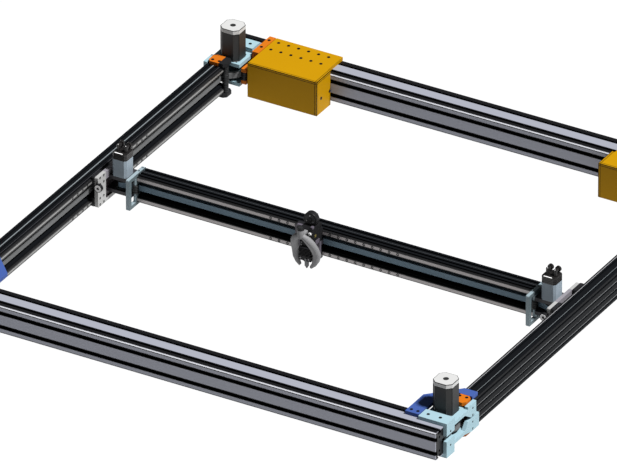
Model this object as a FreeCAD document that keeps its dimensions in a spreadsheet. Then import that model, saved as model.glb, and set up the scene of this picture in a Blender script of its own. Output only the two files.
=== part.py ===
# A flying gantry: a fixed square frame of slotted aluminium beams on which a belt-driven
# cross beam slides front to back and carries a tool head that slides left to right.
# Millimetres. X runs along the front beam, +Y goes to the back, +Z is up. The origin is the
# middle of the footprint on the surface that the frame stands on.
import FreeCAD, Part
import math
import os
from types import SimpleNamespace

import Sketcher
from FreeCAD import Placement, Rotation, Vector

doc = FreeCAD.newDocument("FlyingGantry")

# Driving sizes. Each becomes a cell of the sheet with the same name.
sizes = dict(
    # fixed frame
    beam_length=1450,  # front and back beam
    frame_depth=1535,  # front face to back face
    beam_side=80,  # square section of the front and back beam
    side_in=167.5,  # outer face of the front or back beam to the ends of the side beams
    side_width=40,  # left, right and cross beam, across the channel
    corner_bevel=3,
    slot_mouth=10,
    slot_lip=4.5,
    slot_width=16,
    slot_depth=10,
    slot_first=20,  # from the edge of a big beam to its first slot
    core_hole=4,  # radius of the four cores of a big beam
    core_cavity=14,  # square hollow in the middle of a big beam
    groove_mouth=6,
    groove_lip=1.8,
    groove_width=9,
    groove_depth=5.4,
    groove_pitch=20,
    channel_depth=20,
    channel_height=40,
    # linear rails and their blocks
    rail_width=12,
    rail_height=8,
    rail_edge=10,  # middle of a rail, from the top or bottom edge of its beam
    rail_setback=20,  # rail end to beam end
    rail_waist=1.2,  # depth of the ball track in each flank
    track_low=3.2,  # heights of the ball track above the foot of the rail
    track_middle=4.8,
    track_high=6.4,
    block_width=27,
    block_top=13,  # mounting face of a block above the foot of its rail
    block_lift=3,  # underside of a block above the foot of its rail
    block_length=45,
    slide_gap=0.3,
    # brackets at the four corners, light blue plate
    plate=10,
    wall_out=10,  # end wall outside the beam end
    tab_reach=73,
    tab_front=40,
    tab_hole_near=20,
    tab_hole_far=55,
    tab_hole=3.2,  # radius
    wall_drop=27,
    low_wall_top=43,
    wall_hole_drop=20,
    low_hole_drop=60,
    shelf_reach=75,
    shelf_back=151,
    shelf_drop=3,  # top of the motor plate under the top of the beams
    low_shelf_drop=58,
    flange_front=148,
    flange_back=190,
    flange_rise=4,
    flange_drop=34,
    flange_nose=133,
    flange_toe=165,
    flange_hole=173,
    low_flange_top=38,
    low_flange_drop=76,
    low_flange_back=205,
    # corner plates, deep blue
    gusset_reach=115,
    gusset_outer=75,  # clear of the bracket tab
    gusset_lip=47,
    gusset_knee=140,
    gusset_turn=70,
    gusset_back=176,
    gusset_end=219,
    gusset_left=2,
    gusset_step_back=191,  # behind the guide bracket
    gusset_step_in=58,
    gusset_neck=161,
    gusset_hole=60,
    gusset_hole_near=85,
    gusset_hole_far=104,
    # lift brackets, yellow
    lift_start=100,
    lift_width=207,
    lift_proud=72,  # box in front of the back beam
    lift_margin=9,  # the box reaches past the top plate by this much
    lift_holes=6,
    lift_pitch=30,
    lift_first=17,
    lift_hole=3,  # radius
    lift_side_near=23,
    lift_side_far=67,
    lift_side_drop=47,
    # long-axis motors, square with cut corners
    motor_width=57,
    motor_bevel=12,
    motor_height=89.3,
    motor_cap=11.5,
    motor_eye=7,  # radius of the hole in the cap
    motor_in=37.4,  # motor axis from the beam end
    motor_back=118.5,  # motor axis from the face of the front beam
    motor_bolt=23.57,
    motor_bolt_hole=2.6,
    shaft=4,  # radius
    shaft_fit=0.05,
    shaft_end=1,  # a shaft stops this far before the end of its bore
    # belt drive of the long axis
    belt_width=16,
    belt_thick=2,
    belt_gap=0.3,
    belt_middle=40,  # middle of the belts under the top of the beams
    pulley=34.2,  # radius of the belt seat
    pulley_rim=35.8,
    pulley_height=22,
    rim_height=1.6,
    roller=9,  # radius of the guide rollers
    roller_height=24,
    axle=2.5,  # radius
    outer_guide_in=46.5,
    outer_guide_back=173,
    inner_roller=7.7,
    inner_guide_in=15,
    inner_guide_back=157.2,
    guide_front=151.5,
    guide_back=190,
    guide_left=2,
    guide_right=56,
    guide_bevel=8,
    guide_hole_near=12,
    guide_hole_far=32,
    guide_hole_back=180,
    tension_in=81,
    tension_front=133.3,
    tension_strip=79,
    tension_width=19,
    tension_arm=12,
    tension_eye=9,
    tension_eye_near=5.5,  # towards the motor plates, to clear them
    # cross beam
    cross_in=140,  # end of the front beam to the end of the cross beam
    cross_place=-12,  # front face of its flanges
    end_plate=10,
    end_front=46.5,  # in front of the flanges
    end_back=39.5,
    end_rise=4,
    end_drop=86,
    end_bevel=8,
    window_front=17.5,
    window_back=19,
    window_top=24,
    window_bottom=56,
    carriage_plate=10,
    carriage_front=73.5,
    carriage_back=80.5,
    carriage_rise=3,
    carriage_drop=85,
    carriage_bevel=5,
    bumper=9,  # radius
    bumper_eye=3.7,
    bumper_length=10,
    bumper_drop=19,
    clamp_length=40,
    clamp_height=14,
    # cross-axis servos
    servo_in=92,
    servo_ahead=3.5,  # servo axis behind the flange face
    servo_width=42.3,
    servo_bevel=5.5,
    servo_foot=13,  # seat under the top of the beams
    servo_body=50,
    servo_cap=19,
    servo_flange=10,
    low_bridge=10,
    low_bridge_drop=53,
    plug_width=9,
    plug_height=13,
    plug_reach=9,
    cross_pulley=10.2,
    cross_pulley_rim=16.5,
    cross_pulley_height=22,
    cross_belt=1.5,
    cross_roller=8.4,
    cross_roller_in=135.6,
    cross_roller_front=6.5,
    servo_shaft=2.5,
    # tool head
    tool_place=-47,
    tool_plate=8,
    tool_left=60,
    tool_right=12,
    tool_block=34,
    tool_block_gap=2,
    tool_block_start=1,
    nozzle_front=65.5,
    nozzle_drop=88,
    nozzle_cone=9,
    nozzle_mouth=0.8,
    nozzle_neck=4,
    heater_nozzle=13,
    nozzle_body=5.5,
    heater_length=22,
    heater_width=17,
    heater_height=11.5,
    sink_radius=11,
    sink_core=4.5,
    sink_height=30,
    fin=1.6,
    fin_count=7,
    drive_left=21,
    drive_right=23,
    drive_height=54,
    drive_front=70,
    drive_motor=18,
    drive_motor_length=16,
    drive_motor_in=1,
    drive_motor_back=30,
    gear=5.5,
    gear_length=12,
    gear_gap=1.5,  # around the gear in its room
    gear_front=1,
    gear_drop=2,  # gear axis under the lower edge of the motor
    gear_shaft=22,
    duct_in=-2,
    duct_front=90.5,
    duct_socket=9.5,
    duct_rise=43,
    duct_foot=17,
    duct_split=2.5,  # each arm starts this far to its side of the socket
    duct_throat=6.6,
    duct_lug=12,
    duct_tube=9,
    duct_shoulder=0.55,  # share of the bulge that an arm has reached at its shoulder
    duct_shoulder_drop=0.1,
    duct_sweep=50,  # degrees
    duct_bulge_in=4,
    duct_neck_out=6,
    duct_neck_front=77,
    duct_neck_drop=66.4,
    duct_neck=5.5,
    duct_neck_lean=20,
    duct_tip_lean=25,
    duct_tip=3.5,
    duct_left=40,
    duct_left_drop=39,
    duct_right=45,
    duct_right_drop=28,
    duct_left_tip=27,
    duct_right_tip=20,
    duct_tip_drop=83,
    duct_tip_front=71,
)

sheet = doc.addObject("Spreadsheet::Sheet", "Sizes")
for row, (alias, number) in enumerate(sizes.items(), 1):
    sheet.set(f"A{row}", alias)
    sheet.set(f"B{row}", str(number))
    sheet.setAlias(f"B{row}", alias)
doc.recompute()


class Size:
    # a length that knows its number and the formula that gives it from the sheet

    def __init__(self, value, text=None):
        self.value = value
        self.text = f"{value}" if text is None else text

    def __add__(self, other):
        return combine(self, "+", other)

    def __radd__(self, other):
        return combine(other, "+", self)

    def __sub__(self, other):
        return combine(self, "-", other)

    def __rsub__(self, other):
        return combine(other, "-", self)

    def __mul__(self, other):
        return combine(self, "*", other)

    __rmul__ = __mul__

    def __truediv__(self, other):
        return combine(self, "/", other)

    def __neg__(self):
        return combine(0, "-", self)


def sized(number):
    return number if isinstance(number, Size) else Size(number)


def combine(first, sign, second):
    first, second = sized(first), sized(second)
    value = {
        "+": lambda: first.value + second.value,
        "-": lambda: first.value - second.value,
        "*": lambda: first.value * second.value,
        "/": lambda: first.value / second.value,
    }[sign]()
    return Size(value, f"({first.text} {sign} {second.text})")


s = SimpleNamespace(**{alias: Size(number, f"Sizes.{alias}") for alias, number in sizes.items()})
parts = {}  # node name: document object


def bind(item, prop, length):
    item.setExpression(prop, sized(length).text)


def put(item, at):
    for axis, length in zip("xyz", at):
        bind(item, "Placement.Base." + axis, length)
    return item


def box(name, low, size):
    item = doc.addObject("Part::Box", name)
    for prop, length in zip(("Length", "Width", "Height"), size):
        bind(item, prop, length)
    return put(item, low)


facing = {"X": Rotation(Vector(0, 1, 0), 90), "Y": Rotation(Vector(1, 0, 0), -90), "Z": Rotation()}


def rod(name, at, radius, length, axis="Z"):
    item = doc.addObject("Part::Cylinder", name)
    item.Placement = Placement(Vector(), facing[axis])
    bind(item, "Radius", radius)
    bind(item, "Height", length)
    return put(item, at)


def cone(name, at, low_radius, high_radius, length):
    item = doc.addObject("Part::Cone", name)
    bind(item, "Radius1", low_radius)
    bind(item, "Radius2", high_radius)
    bind(item, "Height", length)
    return put(item, at)


def fused(name, pieces):
    item = doc.addObject("Part::MultiFuse", name)
    item.Shapes = pieces
    item.Refine = True
    return item


def grouped(name, pieces):
    item = doc.addObject("Part::Compound", name)
    item.Links = pieces
    return item


def cut(name, base, tools):
    item = doc.addObject("Part::Cut", name)
    item.Base = base
    item.Tool = tools[0] if len(tools) == 1 else grouped(name + "_cuts", tools)
    return item


def mirrored(name, source, axis):
    item = doc.addObject("Part::Mirroring", name)
    item.Source = source
    item.Normal = Vector(1, 0, 0) if axis == "X" else Vector(0, 1, 0)
    return item


def profile(name, plane, start, thick, corners, holes=()):
    # a flat outline with round holes, given a thickness along the axis across its plane
    body = doc.addObject("PartDesign::Body", name)
    sketch = body.newObject("Sketcher::SketchObject", name + "_outline")
    support = [item for item in body.Origin.OriginFeatures if item.Role == plane + "_Plane"]
    sketch.AttachmentSupport = (support[0], [""])
    sketch.MapMode = "FlatFace"
    points = [(sized(across), sized(up)) for across, up in corners]
    count = len(points)
    spots = [Vector(across.value, up.value, 0) for across, up in points]
    sketch.addGeometry([Part.LineSegment(spots[i], spots[(i + 1) % count]) for i in range(count)])
    rules = [Sketcher.Constraint("Coincident", i, 2, (i + 1) % count, 1) for i in range(count)]
    formulas = {}
    for i, (across, up) in enumerate(points):
        for kind, length in (("DistanceX", across), ("DistanceY", up)):
            formulas[len(rules)] = length
            rules.append(Sketcher.Constraint(kind, -1, 1, i, 1, length.value))
    for across, up, radius in holes:
        hole = sketch.addGeometry(
            Part.Circle(Vector(sized(across).value, sized(up).value, 0), Vector(0, 0, 1), radius.value)
        )
        for kind, length in (("DistanceX", sized(across)), ("DistanceY", sized(up))):
            formulas[len(rules)] = length
            rules.append(Sketcher.Constraint(kind, -1, 1, hole, 3, length.value))
        formulas[len(rules)] = radius
        rules.append(Sketcher.Constraint("Radius", hole, radius.value))
    sketch.addConstraint(rules)
    for index, length in formulas.items():
        bind(sketch, f"Constraints[{index}]", length)
    pad = body.newObject("PartDesign::Pad", name + "_pad")
    pad.Profile = sketch
    bind(pad, "Length", thick)
    # the pad of an XZ outline grows towards -Y
    offset = -(sized(start) + thick) if plane == "XZ" else start
    bind(sketch, "AttachmentOffset.Base.z", offset)
    return body


def bevelled(low, high, bevel):
    # a rectangle with its four corners cut off
    (left, bottom), (right, top) = low, high
    return [
        (left + bevel, bottom), (right - bevel, bottom), (right, bottom + bevel), (right, top - bevel),
        (right - bevel, top), (left + bevel, top), (left, top - bevel), (left, bottom + bevel),
    ]


def keep(node, item):
    item.Label = node
    parts[node] = item
    return item


# Levels and edges that many pieces share
foot = s.plate  # underside of the beams
top = foot + s.beam_side
left_end = -s.beam_length / 2
front_face = -s.frame_depth / 2
belt_level = top - s.belt_middle
side_length = s.frame_depth - s.side_in * 2
side_front = front_face + s.side_in


def section_box(name, axis, start, length, low, size):
    # a box along a beam, its section given as (across, up)
    if axis == "X":
        return box(name, (start, low[0], low[1]), (length, size[0], size[1]))
    return box(name, (low[0], start, low[1]), (size[0], length, size[1]))


def tee_slot(name, axis, start, length, face, inward, middle, upright, slot):
    # a mouth and a wider chamber behind it; upright slots open up or down
    mouth, lip, width, depth = slot
    pieces = []
    for label, near, far, wide in (("mouth", 0, lip, mouth), ("chamber", lip, depth, width)):
        reach = far - near
        low_deep = face + near if inward > 0 else face - far
        low = (low_deep, middle - wide / 2)
        size = (reach, wide)
        if upright:
            low, size = low[::-1], size[::-1]
        pieces.append(section_box(f"{name}_{label}", axis, start, length, low, size))
    return pieces


def big_beam(node, face):
    # square beam with two slots in every side, four screw cores and a hollow middle
    slot = (s.slot_mouth, s.slot_lip, s.slot_width, s.slot_depth)
    bar = profile(
        node + "_bar", "YZ", left_end, s.beam_length,
        bevelled((face, foot), (face + s.beam_side, top), s.corner_bevel),
    )
    tools = []
    for number, place in enumerate((s.slot_first, s.beam_side - s.slot_first)):
        for side, upright, edge, inward in (
            ("front", False, face, 1), ("back", False, face + s.beam_side, -1),
            ("under", True, foot, 1), ("over", True, top, -1),
        ):
            middle = face + place if upright else foot + place
            name = f"{node}_{side}_{number}"
            tools += tee_slot(name, "X", left_end, s.beam_length, edge, inward, middle, upright, slot)
        for level, up in enumerate((s.slot_first, s.beam_side - s.slot_first)):
            name = f"{node}_core_{number}_{level}"
            tools.append(rod(name, (left_end, face + place, foot + up), s.core_hole, s.beam_length, "X"))
    low = (face + s.beam_side / 2 - s.core_cavity / 2, foot + s.beam_side / 2 - s.core_cavity / 2)
    size = (s.core_cavity, s.core_cavity)
    tools.append(section_box(node + "_hollow", "X", left_end, s.beam_length, low, size))
    return keep(node, cut(node, bar, tools))


def channel_beam(node, axis, start, length, outer, inward):
    # C-shaped beam: outer is its back face, the channel opens the other way
    def across(depth, size):
        return outer + depth if inward > 0 else outer - depth - size

    low, size = (across(0, s.side_width), foot), (s.side_width, s.beam_side)
    bar = section_box(node + "_bar", axis, start, length, low, size)
    floor = s.side_width - s.channel_depth
    low = top - s.beam_side / 2 - s.channel_height / 2
    tools = [
        section_box(
            node + "_channel", axis, start, length,
            (across(floor, s.channel_depth), low), (s.channel_depth, s.channel_height),
        )
    ]
    slot = (s.groove_mouth, s.groove_lip, s.groove_width, s.groove_depth)
    half = s.groove_pitch / 2
    levels = [top - half - s.groove_pitch * i for i in range(4)]
    inner_face = outer + s.side_width if inward > 0 else outer - s.side_width
    floor_face = outer + floor if inward > 0 else outer - floor
    grooves = [("back", outer, inward, level, False) for level in levels]
    grooves += [("flange", inner_face, -inward, level, False) for level in (levels[0], levels[3])]
    grooves += [("floor", floor_face, -inward, level, False) for level in levels[1:3]]
    for depth in (half, half + s.groove_pitch):
        middle = outer + depth if inward > 0 else outer - depth
        grooves += [("over", top, -1, middle, True), ("under", foot, 1, middle, True)]
    for number, (side, face, way, middle, upright) in enumerate(grooves):
        name = f"{node}_{side}_{number}"
        tools += tee_slot(name, axis, start, length, face, way, middle, upright, slot)
    return keep(node, cut(node, bar, tools))


big_beam("front_beam", front_face)
big_beam("back_beam", -front_face - s.beam_side)
channel_beam("left_beam", "Y", side_front, side_length, left_end, 1)
channel_beam("right_beam", "Y", side_front, side_length, -left_end, -1)
cross_length = s.beam_length - s.cross_in * 2
cross_left = left_end + s.cross_in
channel_beam("cross_beam", "X", cross_left, cross_length, s.cross_place + s.side_width, -1)


def rail_section(seat, way, level):
    # rail section with a ball track in each flank, standing on the face at seat
    half = s.rail_width / 2
    steps = (
        (0, half), (s.track_low, half), (s.track_middle, half - s.rail_waist),
        (s.track_high, half), (s.rail_height, half),
    )
    upper = [(seat + height * way, level + wide) for height, wide in steps]
    lower = [(seat + height * way, level - wide) for height, wide in reversed(steps)]
    return upper + lower


def block_section(seat, way, level):
    # sliding block that wraps the head of its rail
    half = s.block_width / 2
    throat = s.rail_width / 2 + s.slide_gap
    roof = s.rail_height + s.slide_gap
    steps = (
        (s.block_lift, throat), (s.block_lift, half), (s.block_top, half),
        (s.block_top, -half), (s.block_lift, -half), (s.block_lift, -throat),
        (roof, -throat), (roof, throat),
    )
    return [(seat + sized(height) * way, level + wide) for height, wide in steps]


rail_levels = (top - s.rail_edge, foot + s.rail_edge)
side_seat = left_end + s.side_width
rails = [
    profile(
        f"side_rail_{i}", "XZ", side_front + s.rail_setback, side_length - s.rail_setback * 2,
        rail_section(side_seat, 1, level),
    )
    for i, level in enumerate(rail_levels)
]
left_rails = grouped("left_rails", rails)
keep("side_rails", grouped("side_rails", [left_rails, mirrored("right_rails", left_rails, "X")]))
keep("cross_rails", grouped("cross_rails", [
    profile(f"cross_rail_{i}", "YZ", cross_left, cross_length, rail_section(s.cross_place, -1, level))
    for i, level in enumerate(rail_levels)
]))

# Corner brackets. Each corner has an upper and a lower one, modelled front left: the distance
# inward from the beam end is added to left_end, the distance back to front_face.
axis_x = left_end + s.motor_in
axis_y = front_face + s.motor_back


def back(length):
    return front_face + length


def inward(length):
    return left_end + length


bolt_spots = [(axis_x + s.motor_bolt * i, axis_y + s.motor_bolt * j) for i in (-1, 1) for j in (-1, 1)]
shaft_hole = (axis_x, axis_y, s.shaft + s.shaft_fit)
wall_start = left_end - s.wall_out
tab_holes = [
    (inward(reach), back(s.tab_front / 2 + s.beam_side / 2), s.tab_hole)
    for reach in (s.tab_hole_near, s.tab_hole_far)
]
tab_corners = [
    (wall_start, back(s.tab_front)), (inward(s.tab_reach), back(s.tab_front)),
    (inward(s.tab_reach), back(s.beam_side)), (wall_start, back(s.beam_side)),
]
shelf_corners = [
    (wall_start, back(s.beam_side)), (inward(s.shelf_reach), back(s.beam_side)),
    (inward(s.shelf_reach), back(s.shelf_back)), (wall_start, back(s.shelf_back)),
]


def wall_corners(low, high):
    return [
        (back(s.tab_front), low), (back(s.beam_side), low),
        (back(s.beam_side), high), (back(s.tab_front), high),
    ]


wall_hole = back(s.tab_front / 2 + s.beam_side / 2)
upper_shelf = top - s.shelf_drop - s.plate
lower_shelf = top - s.low_shelf_drop - s.plate
upper = fused("upper_bracket", [
    profile("upper_tab", "XY", top, s.plate, tab_corners, tab_holes),
    profile("upper_wall", "YZ", wall_start, s.wall_out, wall_corners(top - s.wall_drop, top + s.plate),
            [(wall_hole, top - s.wall_hole_drop, s.tab_hole)]),
    profile("upper_shelf", "XY", upper_shelf, s.plate, shelf_corners,
            [shaft_hole] + [(across, along, s.motor_bolt_hole) for across, along in bolt_spots]),
    profile("upper_flange", "YZ", wall_start, s.wall_out, [
        (back(s.flange_nose), upper_shelf), (back(s.flange_toe), top - s.flange_drop),
        (back(s.flange_back), top - s.flange_drop), (back(s.flange_back), top + s.flange_rise),
        (back(s.flange_front), top + s.flange_rise), (back(s.flange_front), top - s.shelf_drop),
        (back(s.flange_nose), top - s.shelf_drop),
    ], [(back(s.flange_hole), top - s.groove_pitch * (i + 0.5), s.tab_hole) for i in range(2)]),
])
lower = fused("lower_bracket", [
    profile("lower_tab", "XY", foot - s.plate, s.plate, tab_corners, tab_holes),
    profile("lower_wall", "YZ", wall_start, s.wall_out, wall_corners(foot - s.plate, top - s.low_wall_top),
            [(wall_hole, top - s.low_hole_drop, s.tab_hole)]),
    profile("lower_shelf", "XY", lower_shelf, s.plate, shelf_corners, [shaft_hole]),
    profile("lower_flange", "YZ", wall_start, s.wall_out, [
        (back(s.flange_nose), lower_shelf), (back(s.flange_toe), top - s.low_flange_drop),
        (back(s.low_flange_back), top - s.low_flange_drop), (back(s.low_flange_back), top - s.low_flange_top),
        (back(s.flange_front), top - s.low_flange_top), (back(s.flange_nose), lower_shelf + s.plate),
    ], [(back(s.flange_hole), top - s.groove_pitch * (i + 2.5), s.tab_hole) for i in range(2)]),
])
keep("front_left_corner_bracket", grouped("front_left_corner_bracket", [upper, lower]))


def at_corners(node, source, wanted=("front_right", "back_left", "back_right")):
    # the same piece mirrored to the other corners
    for corner in wanted:
        side, name = source, f"{corner}_{node}"
        if corner.startswith("back"):
            side = mirrored(name + "_turn" if corner.endswith("right") else name, side, "Y")
        if corner.endswith("right"):
            side = mirrored(name, side, "X")
        keep(name, side)


at_corners("corner_bracket", parts["front_left_corner_bracket"])

# Deep blue corner plates that stiffen the two front corners
gusset = profile("front_left_corner_plate", "XY", top, s.plate, [
    (inward(s.gusset_outer), back(s.gusset_lip)), (inward(s.gusset_reach), back(s.gusset_lip)),
    (inward(s.gusset_reach), back(s.gusset_knee)), (inward(s.gusset_turn), back(s.gusset_back + s.plate)),
    (inward(s.side_width), back(s.gusset_end)), (inward(s.gusset_left), back(s.gusset_end)),
    (inward(s.gusset_left), back(s.gusset_step_back)), (inward(s.gusset_step_in), back(s.gusset_step_back)),
    (inward(s.gusset_outer), back(s.gusset_neck)),
], [(inward(reach), back(s.gusset_hole), s.tab_hole) for reach in (s.gusset_hole_near, s.gusset_hole_far)])
keep("front_left_corner_plate", gusset)
at_corners("corner_plate", gusset, ["front_right"])

# Yellow lift brackets: a box of plate in front of the back beam with a top plate over it
lift_left = inward(s.lift_start)
lift_right = lift_left + s.lift_width
beam_front = -front_face - s.beam_side
lift_front = beam_front - s.lift_proud
lift_spots = [
    (lift_left + s.lift_first + s.lift_pitch * i, beam_front + place, s.lift_hole)
    for place in (s.slot_first, s.beam_side - s.slot_first)
    for i in range(sizes["lift_holes"])
]
lift = fused("lift_shell", [
    profile("lift_top", "XY", top, s.plate, [
        (lift_left, lift_front), (lift_right, lift_front), (lift_right, beam_front),
        (lift_right - s.lift_margin, beam_front), (lift_right - s.lift_margin, -front_face),
        (lift_left, -front_face),
    ], lift_spots),
    box("lift_front", (lift_left, lift_front, 0), (s.lift_width, s.plate, top)),
    box("lift_left_side", (lift_left, lift_front, 0), (s.plate, s.lift_proud, top)),
    profile("lift_right_side", "YZ", lift_right - s.plate, s.plate, [
        (lift_front, 0), (beam_front, 0), (beam_front, top), (lift_front, top),
    ], [
        (lift_front + place, top - s.lift_side_drop, s.lift_hole)
        for place in (s.lift_side_near, s.lift_side_far)
    ]),
])
keep("left_lift_bracket", lift)
keep("right_lift_bracket", mirrored("right_lift_bracket", lift, "X"))


# Motors of the long axis stand on the motor plates of the back left and front right corner
def cut_square(middle, width, bevel):
    across, along = middle
    return bevelled((across - width / 2, along - width / 2), (across + width / 2, along + width / 2), bevel)


motor_seat = top - s.shelf_drop
motor_square = cut_square((axis_x, axis_y), s.motor_width, s.motor_bevel)
shaft_reach = s.plate * 2
stator_height = s.motor_height + s.shelf_drop - s.motor_cap
motor = grouped("motor", [
    cut("motor_stator", profile("stator", "XY", motor_seat, stator_height, motor_square),
        [rod("stator_bore", (axis_x, axis_y, motor_seat), s.shaft + s.shaft_fit, shaft_reach)]),
    profile("motor_cap", "XY", motor_seat + stator_height, s.motor_cap, motor_square,
            [(axis_x, axis_y, s.motor_eye)]),
])
keep("back_left_motor", mirrored("back_left_motor", motor, "Y"))
keep("front_right_motor", mirrored("front_right_motor", motor, "X"))

# Guide rollers turn on axles held by an orange bracket above and one below each beam end
outer_guide = (inward(s.outer_guide_in), back(s.outer_guide_back))
inner_guide = (inward(s.inner_guide_in), back(s.inner_guide_back))
guide_corners = bevelled(
    (inward(s.guide_left), back(s.guide_front)), (inward(s.guide_right), back(s.guide_back)), s.guide_bevel
)
guide_holes = [
    (inward(reach), back(s.guide_hole_back), s.tab_hole) for reach in (s.guide_hole_near, s.guide_hole_far)
]
for node, level in (("upper_guide_brackets", top), ("lower_guide_brackets", foot - s.plate)):
    first = profile(node + "_front_left", "XY", level, s.plate, guide_corners, guide_holes)
    pair = grouped(node + "_left", [first, mirrored(node + "_back_left", first, "Y")])
    keep(node, grouped(node, [pair, mirrored(node + "_right", pair, "X")]))
axles = grouped("guide_axles_front_left", [
    rod(f"guide_axle_{i}", (*spot, foot), s.axle, s.beam_side)
    for i, spot in enumerate((outer_guide, inner_guide))
])
axles_left = grouped("guide_axles_left", [axles, mirrored("guide_axles_back_left", axles, "Y")])
keep("guide_axles", grouped("guide_axles", [axles_left, mirrored("guide_axles_right", axles_left, "X")]))


def roller(name, spot, radius, bore, height=None):
    height = height or s.roller_height
    across, along = spot
    low = (across, along, belt_level - height / 2)
    drum = rod(name + "_drum", low, radius, height)
    return cut(name, drum, [rod(name + "_bore", low, bore + s.shaft_fit, height)])


def pulley(name, shaft_high):
    # drum with two rims on a shaft that turns in both plates
    low = belt_level - s.pulley_height / 2
    high = low + s.pulley_height - s.rim_height
    return fused(name, [
        rod(name + "_seat", (axis_x, axis_y, low), s.pulley, s.pulley_height),
        rod(name + "_low_rim", (axis_x, axis_y, low), s.pulley_rim, s.rim_height),
        rod(name + "_high_rim", (axis_x, axis_y, high), s.pulley_rim, s.rim_height),
        rod(name + "_shaft", (axis_x, axis_y, lower_shelf), s.shaft, shaft_high - lower_shelf),
    ])


idler = pulley("front_left_pulley", motor_seat)
driven = pulley("driven_pulley", motor_seat + shaft_reach - s.shaft_end)
keep("front_left_pulley", idler)
at_corners("pulley", idler, ["back_right"])
at_corners("pulley", driven, ["back_left", "front_right"])
guide_rollers = (("outer_roller", outer_guide, s.roller), ("inner_roller", inner_guide, s.inner_roller))
for node, spot, radius in guide_rollers:
    first = roller("front_left_" + node, spot, radius, s.axle)
    keep("front_left_" + node, first)
    at_corners(node, first)

# Tension rollers press the belt to the back pulleys, held by orange strips on the back beam
tension = (inward(s.tension_in), -back(s.tension_front))
strip_left = inward(s.tension_strip)
eye_left = tension[0] - s.tension_eye_near
eye_corners = [
    (eye_left, tension[1] - s.tension_eye), (tension[0] + s.tension_eye, tension[1] - s.tension_eye),
    (tension[0] + s.tension_eye, beam_front), (strip_left, beam_front),
    (eye_left, tension[1] + s.tension_eye),
]
strip_holes = [
    (strip_left + s.tension_width / 2, beam_front + place, s.tab_hole)
    for place in (s.slot_first, s.beam_side - s.slot_first)
]
roller_top = belt_level + s.roller_height / 2 + s.slide_gap
roller_low = belt_level - s.roller_height / 2 - s.slide_gap
arm = fused("tension_arm", [
    profile("tension_strip", "XY", top, s.plate, [
        (strip_left, beam_front - s.tension_arm), (strip_left + s.tension_width, beam_front - s.tension_arm),
        (strip_left + s.tension_width, -front_face), (strip_left, -front_face),
    ], strip_holes),
    box("tension_post", (strip_left, beam_front - s.tension_arm, roller_low - s.plate),
        (s.tension_width, s.tension_arm, top - roller_low + s.plate)),
    profile("tension_upper_eye", "XY", roller_top, s.plate, eye_corners),
    profile("tension_lower_eye", "XY", roller_low - s.plate, s.plate, eye_corners),
    rod("tension_axle", (*tension, roller_low), s.axle, roller_top - roller_low),
])
keep("left_tension_bracket", arm)
keep("right_tension_bracket", mirrored("right_tension_bracket", arm, "X"))
tension_roller = roller("left_tension_roller", tension, s.roller, s.axle)
keep("left_tension_roller", tension_roller)
keep("right_tension_roller", mirrored("right_tension_roller", tension_roller, "X"))


# Belts: closed loops of straight runs and arcs, tangent to every wheel they pass
def tangent(first, second):
    # the straight run from one wheel to the next; a wheel is (x, y, radius, turn), turn +1 for
    # a wheel that the belt passes anticlockwise and -1 for clockwise
    (x1, y1, r1, t1), (x2, y2, r2, t2) = first, second
    gap = math.hypot(x2 - x1, y2 - y1)
    heading = math.atan2(y2 - y1, x2 - x1)
    lean = math.asin((r2 * t2 - r1 * t1) / gap)
    run = heading - lean
    side = (math.sin(run), -math.cos(run))
    start = Vector(x1 + side[0] * r1 * t1, y1 + side[1] * r1 * t1, 0)
    end = Vector(x2 + side[0] * r2 * t2, y2 + side[1] * r2 * t2, 0)
    return start, end


def loop(wheels):
    runs = [tangent(wheels[i], wheels[(i + 1) % len(wheels)]) for i in range(len(wheels))]
    edges = []
    for i, (x, y, radius, turn) in enumerate(wheels):
        arrive, leave = runs[i - 1][1], runs[i][0]
        begin = math.atan2(arrive.y - y, arrive.x - x)
        sweep = (math.atan2(leave.y - y, leave.x - x) - begin) * turn % (2 * math.pi)
        middle = begin + sweep * turn / 2
        crown = Vector(x + radius * math.cos(middle), y + radius * math.sin(middle), 0)
        edges.append(Part.Arc(arrive, crown, leave).toShape())
        edges.append(Part.LineSegment(*runs[i]).toShape())
    return Part.Wire(edges)


def belt(name, wheels, thick, width):
    # wheels inside the loop carry its inner face, wheels outside it touch its back
    gap = sizes["belt_gap"]
    inner = loop([(x.value, y.value, r.value + gap + (thick if t < 0 else 0), t) for x, y, r, t in wheels])
    outer = loop([(x.value, y.value, r.value + gap + (thick if t > 0 else 0), t) for x, y, r, t in wheels])
    face = Part.makeFace([outer, inner], "Part::FaceMakerBullseye")
    item = doc.addObject("Part::Feature", name)
    item.Shape = face.extrude(Vector(0, 0, width))
    item.Placement = Placement(Vector(0, 0, (belt_level - s.belt_width / 2).value), Rotation())
    return item


def flipped(spot):
    return spot[0], -spot[1]


wheels = [
    (*flipped((axis_x, axis_y)), s.pulley, 1), (*flipped(inner_guide), s.inner_roller, -1),
    (*inner_guide, s.inner_roller, -1), (axis_x, axis_y, s.pulley, 1),
    (*outer_guide, s.roller, -1), (*flipped(outer_guide), s.roller, -1),
]
left_belt = belt("left_belt", wheels, sizes["belt_thick"], sizes["belt_width"])
keep("left_belt", left_belt)
keep("right_belt", mirrored("right_belt", left_belt, "X"))

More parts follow.
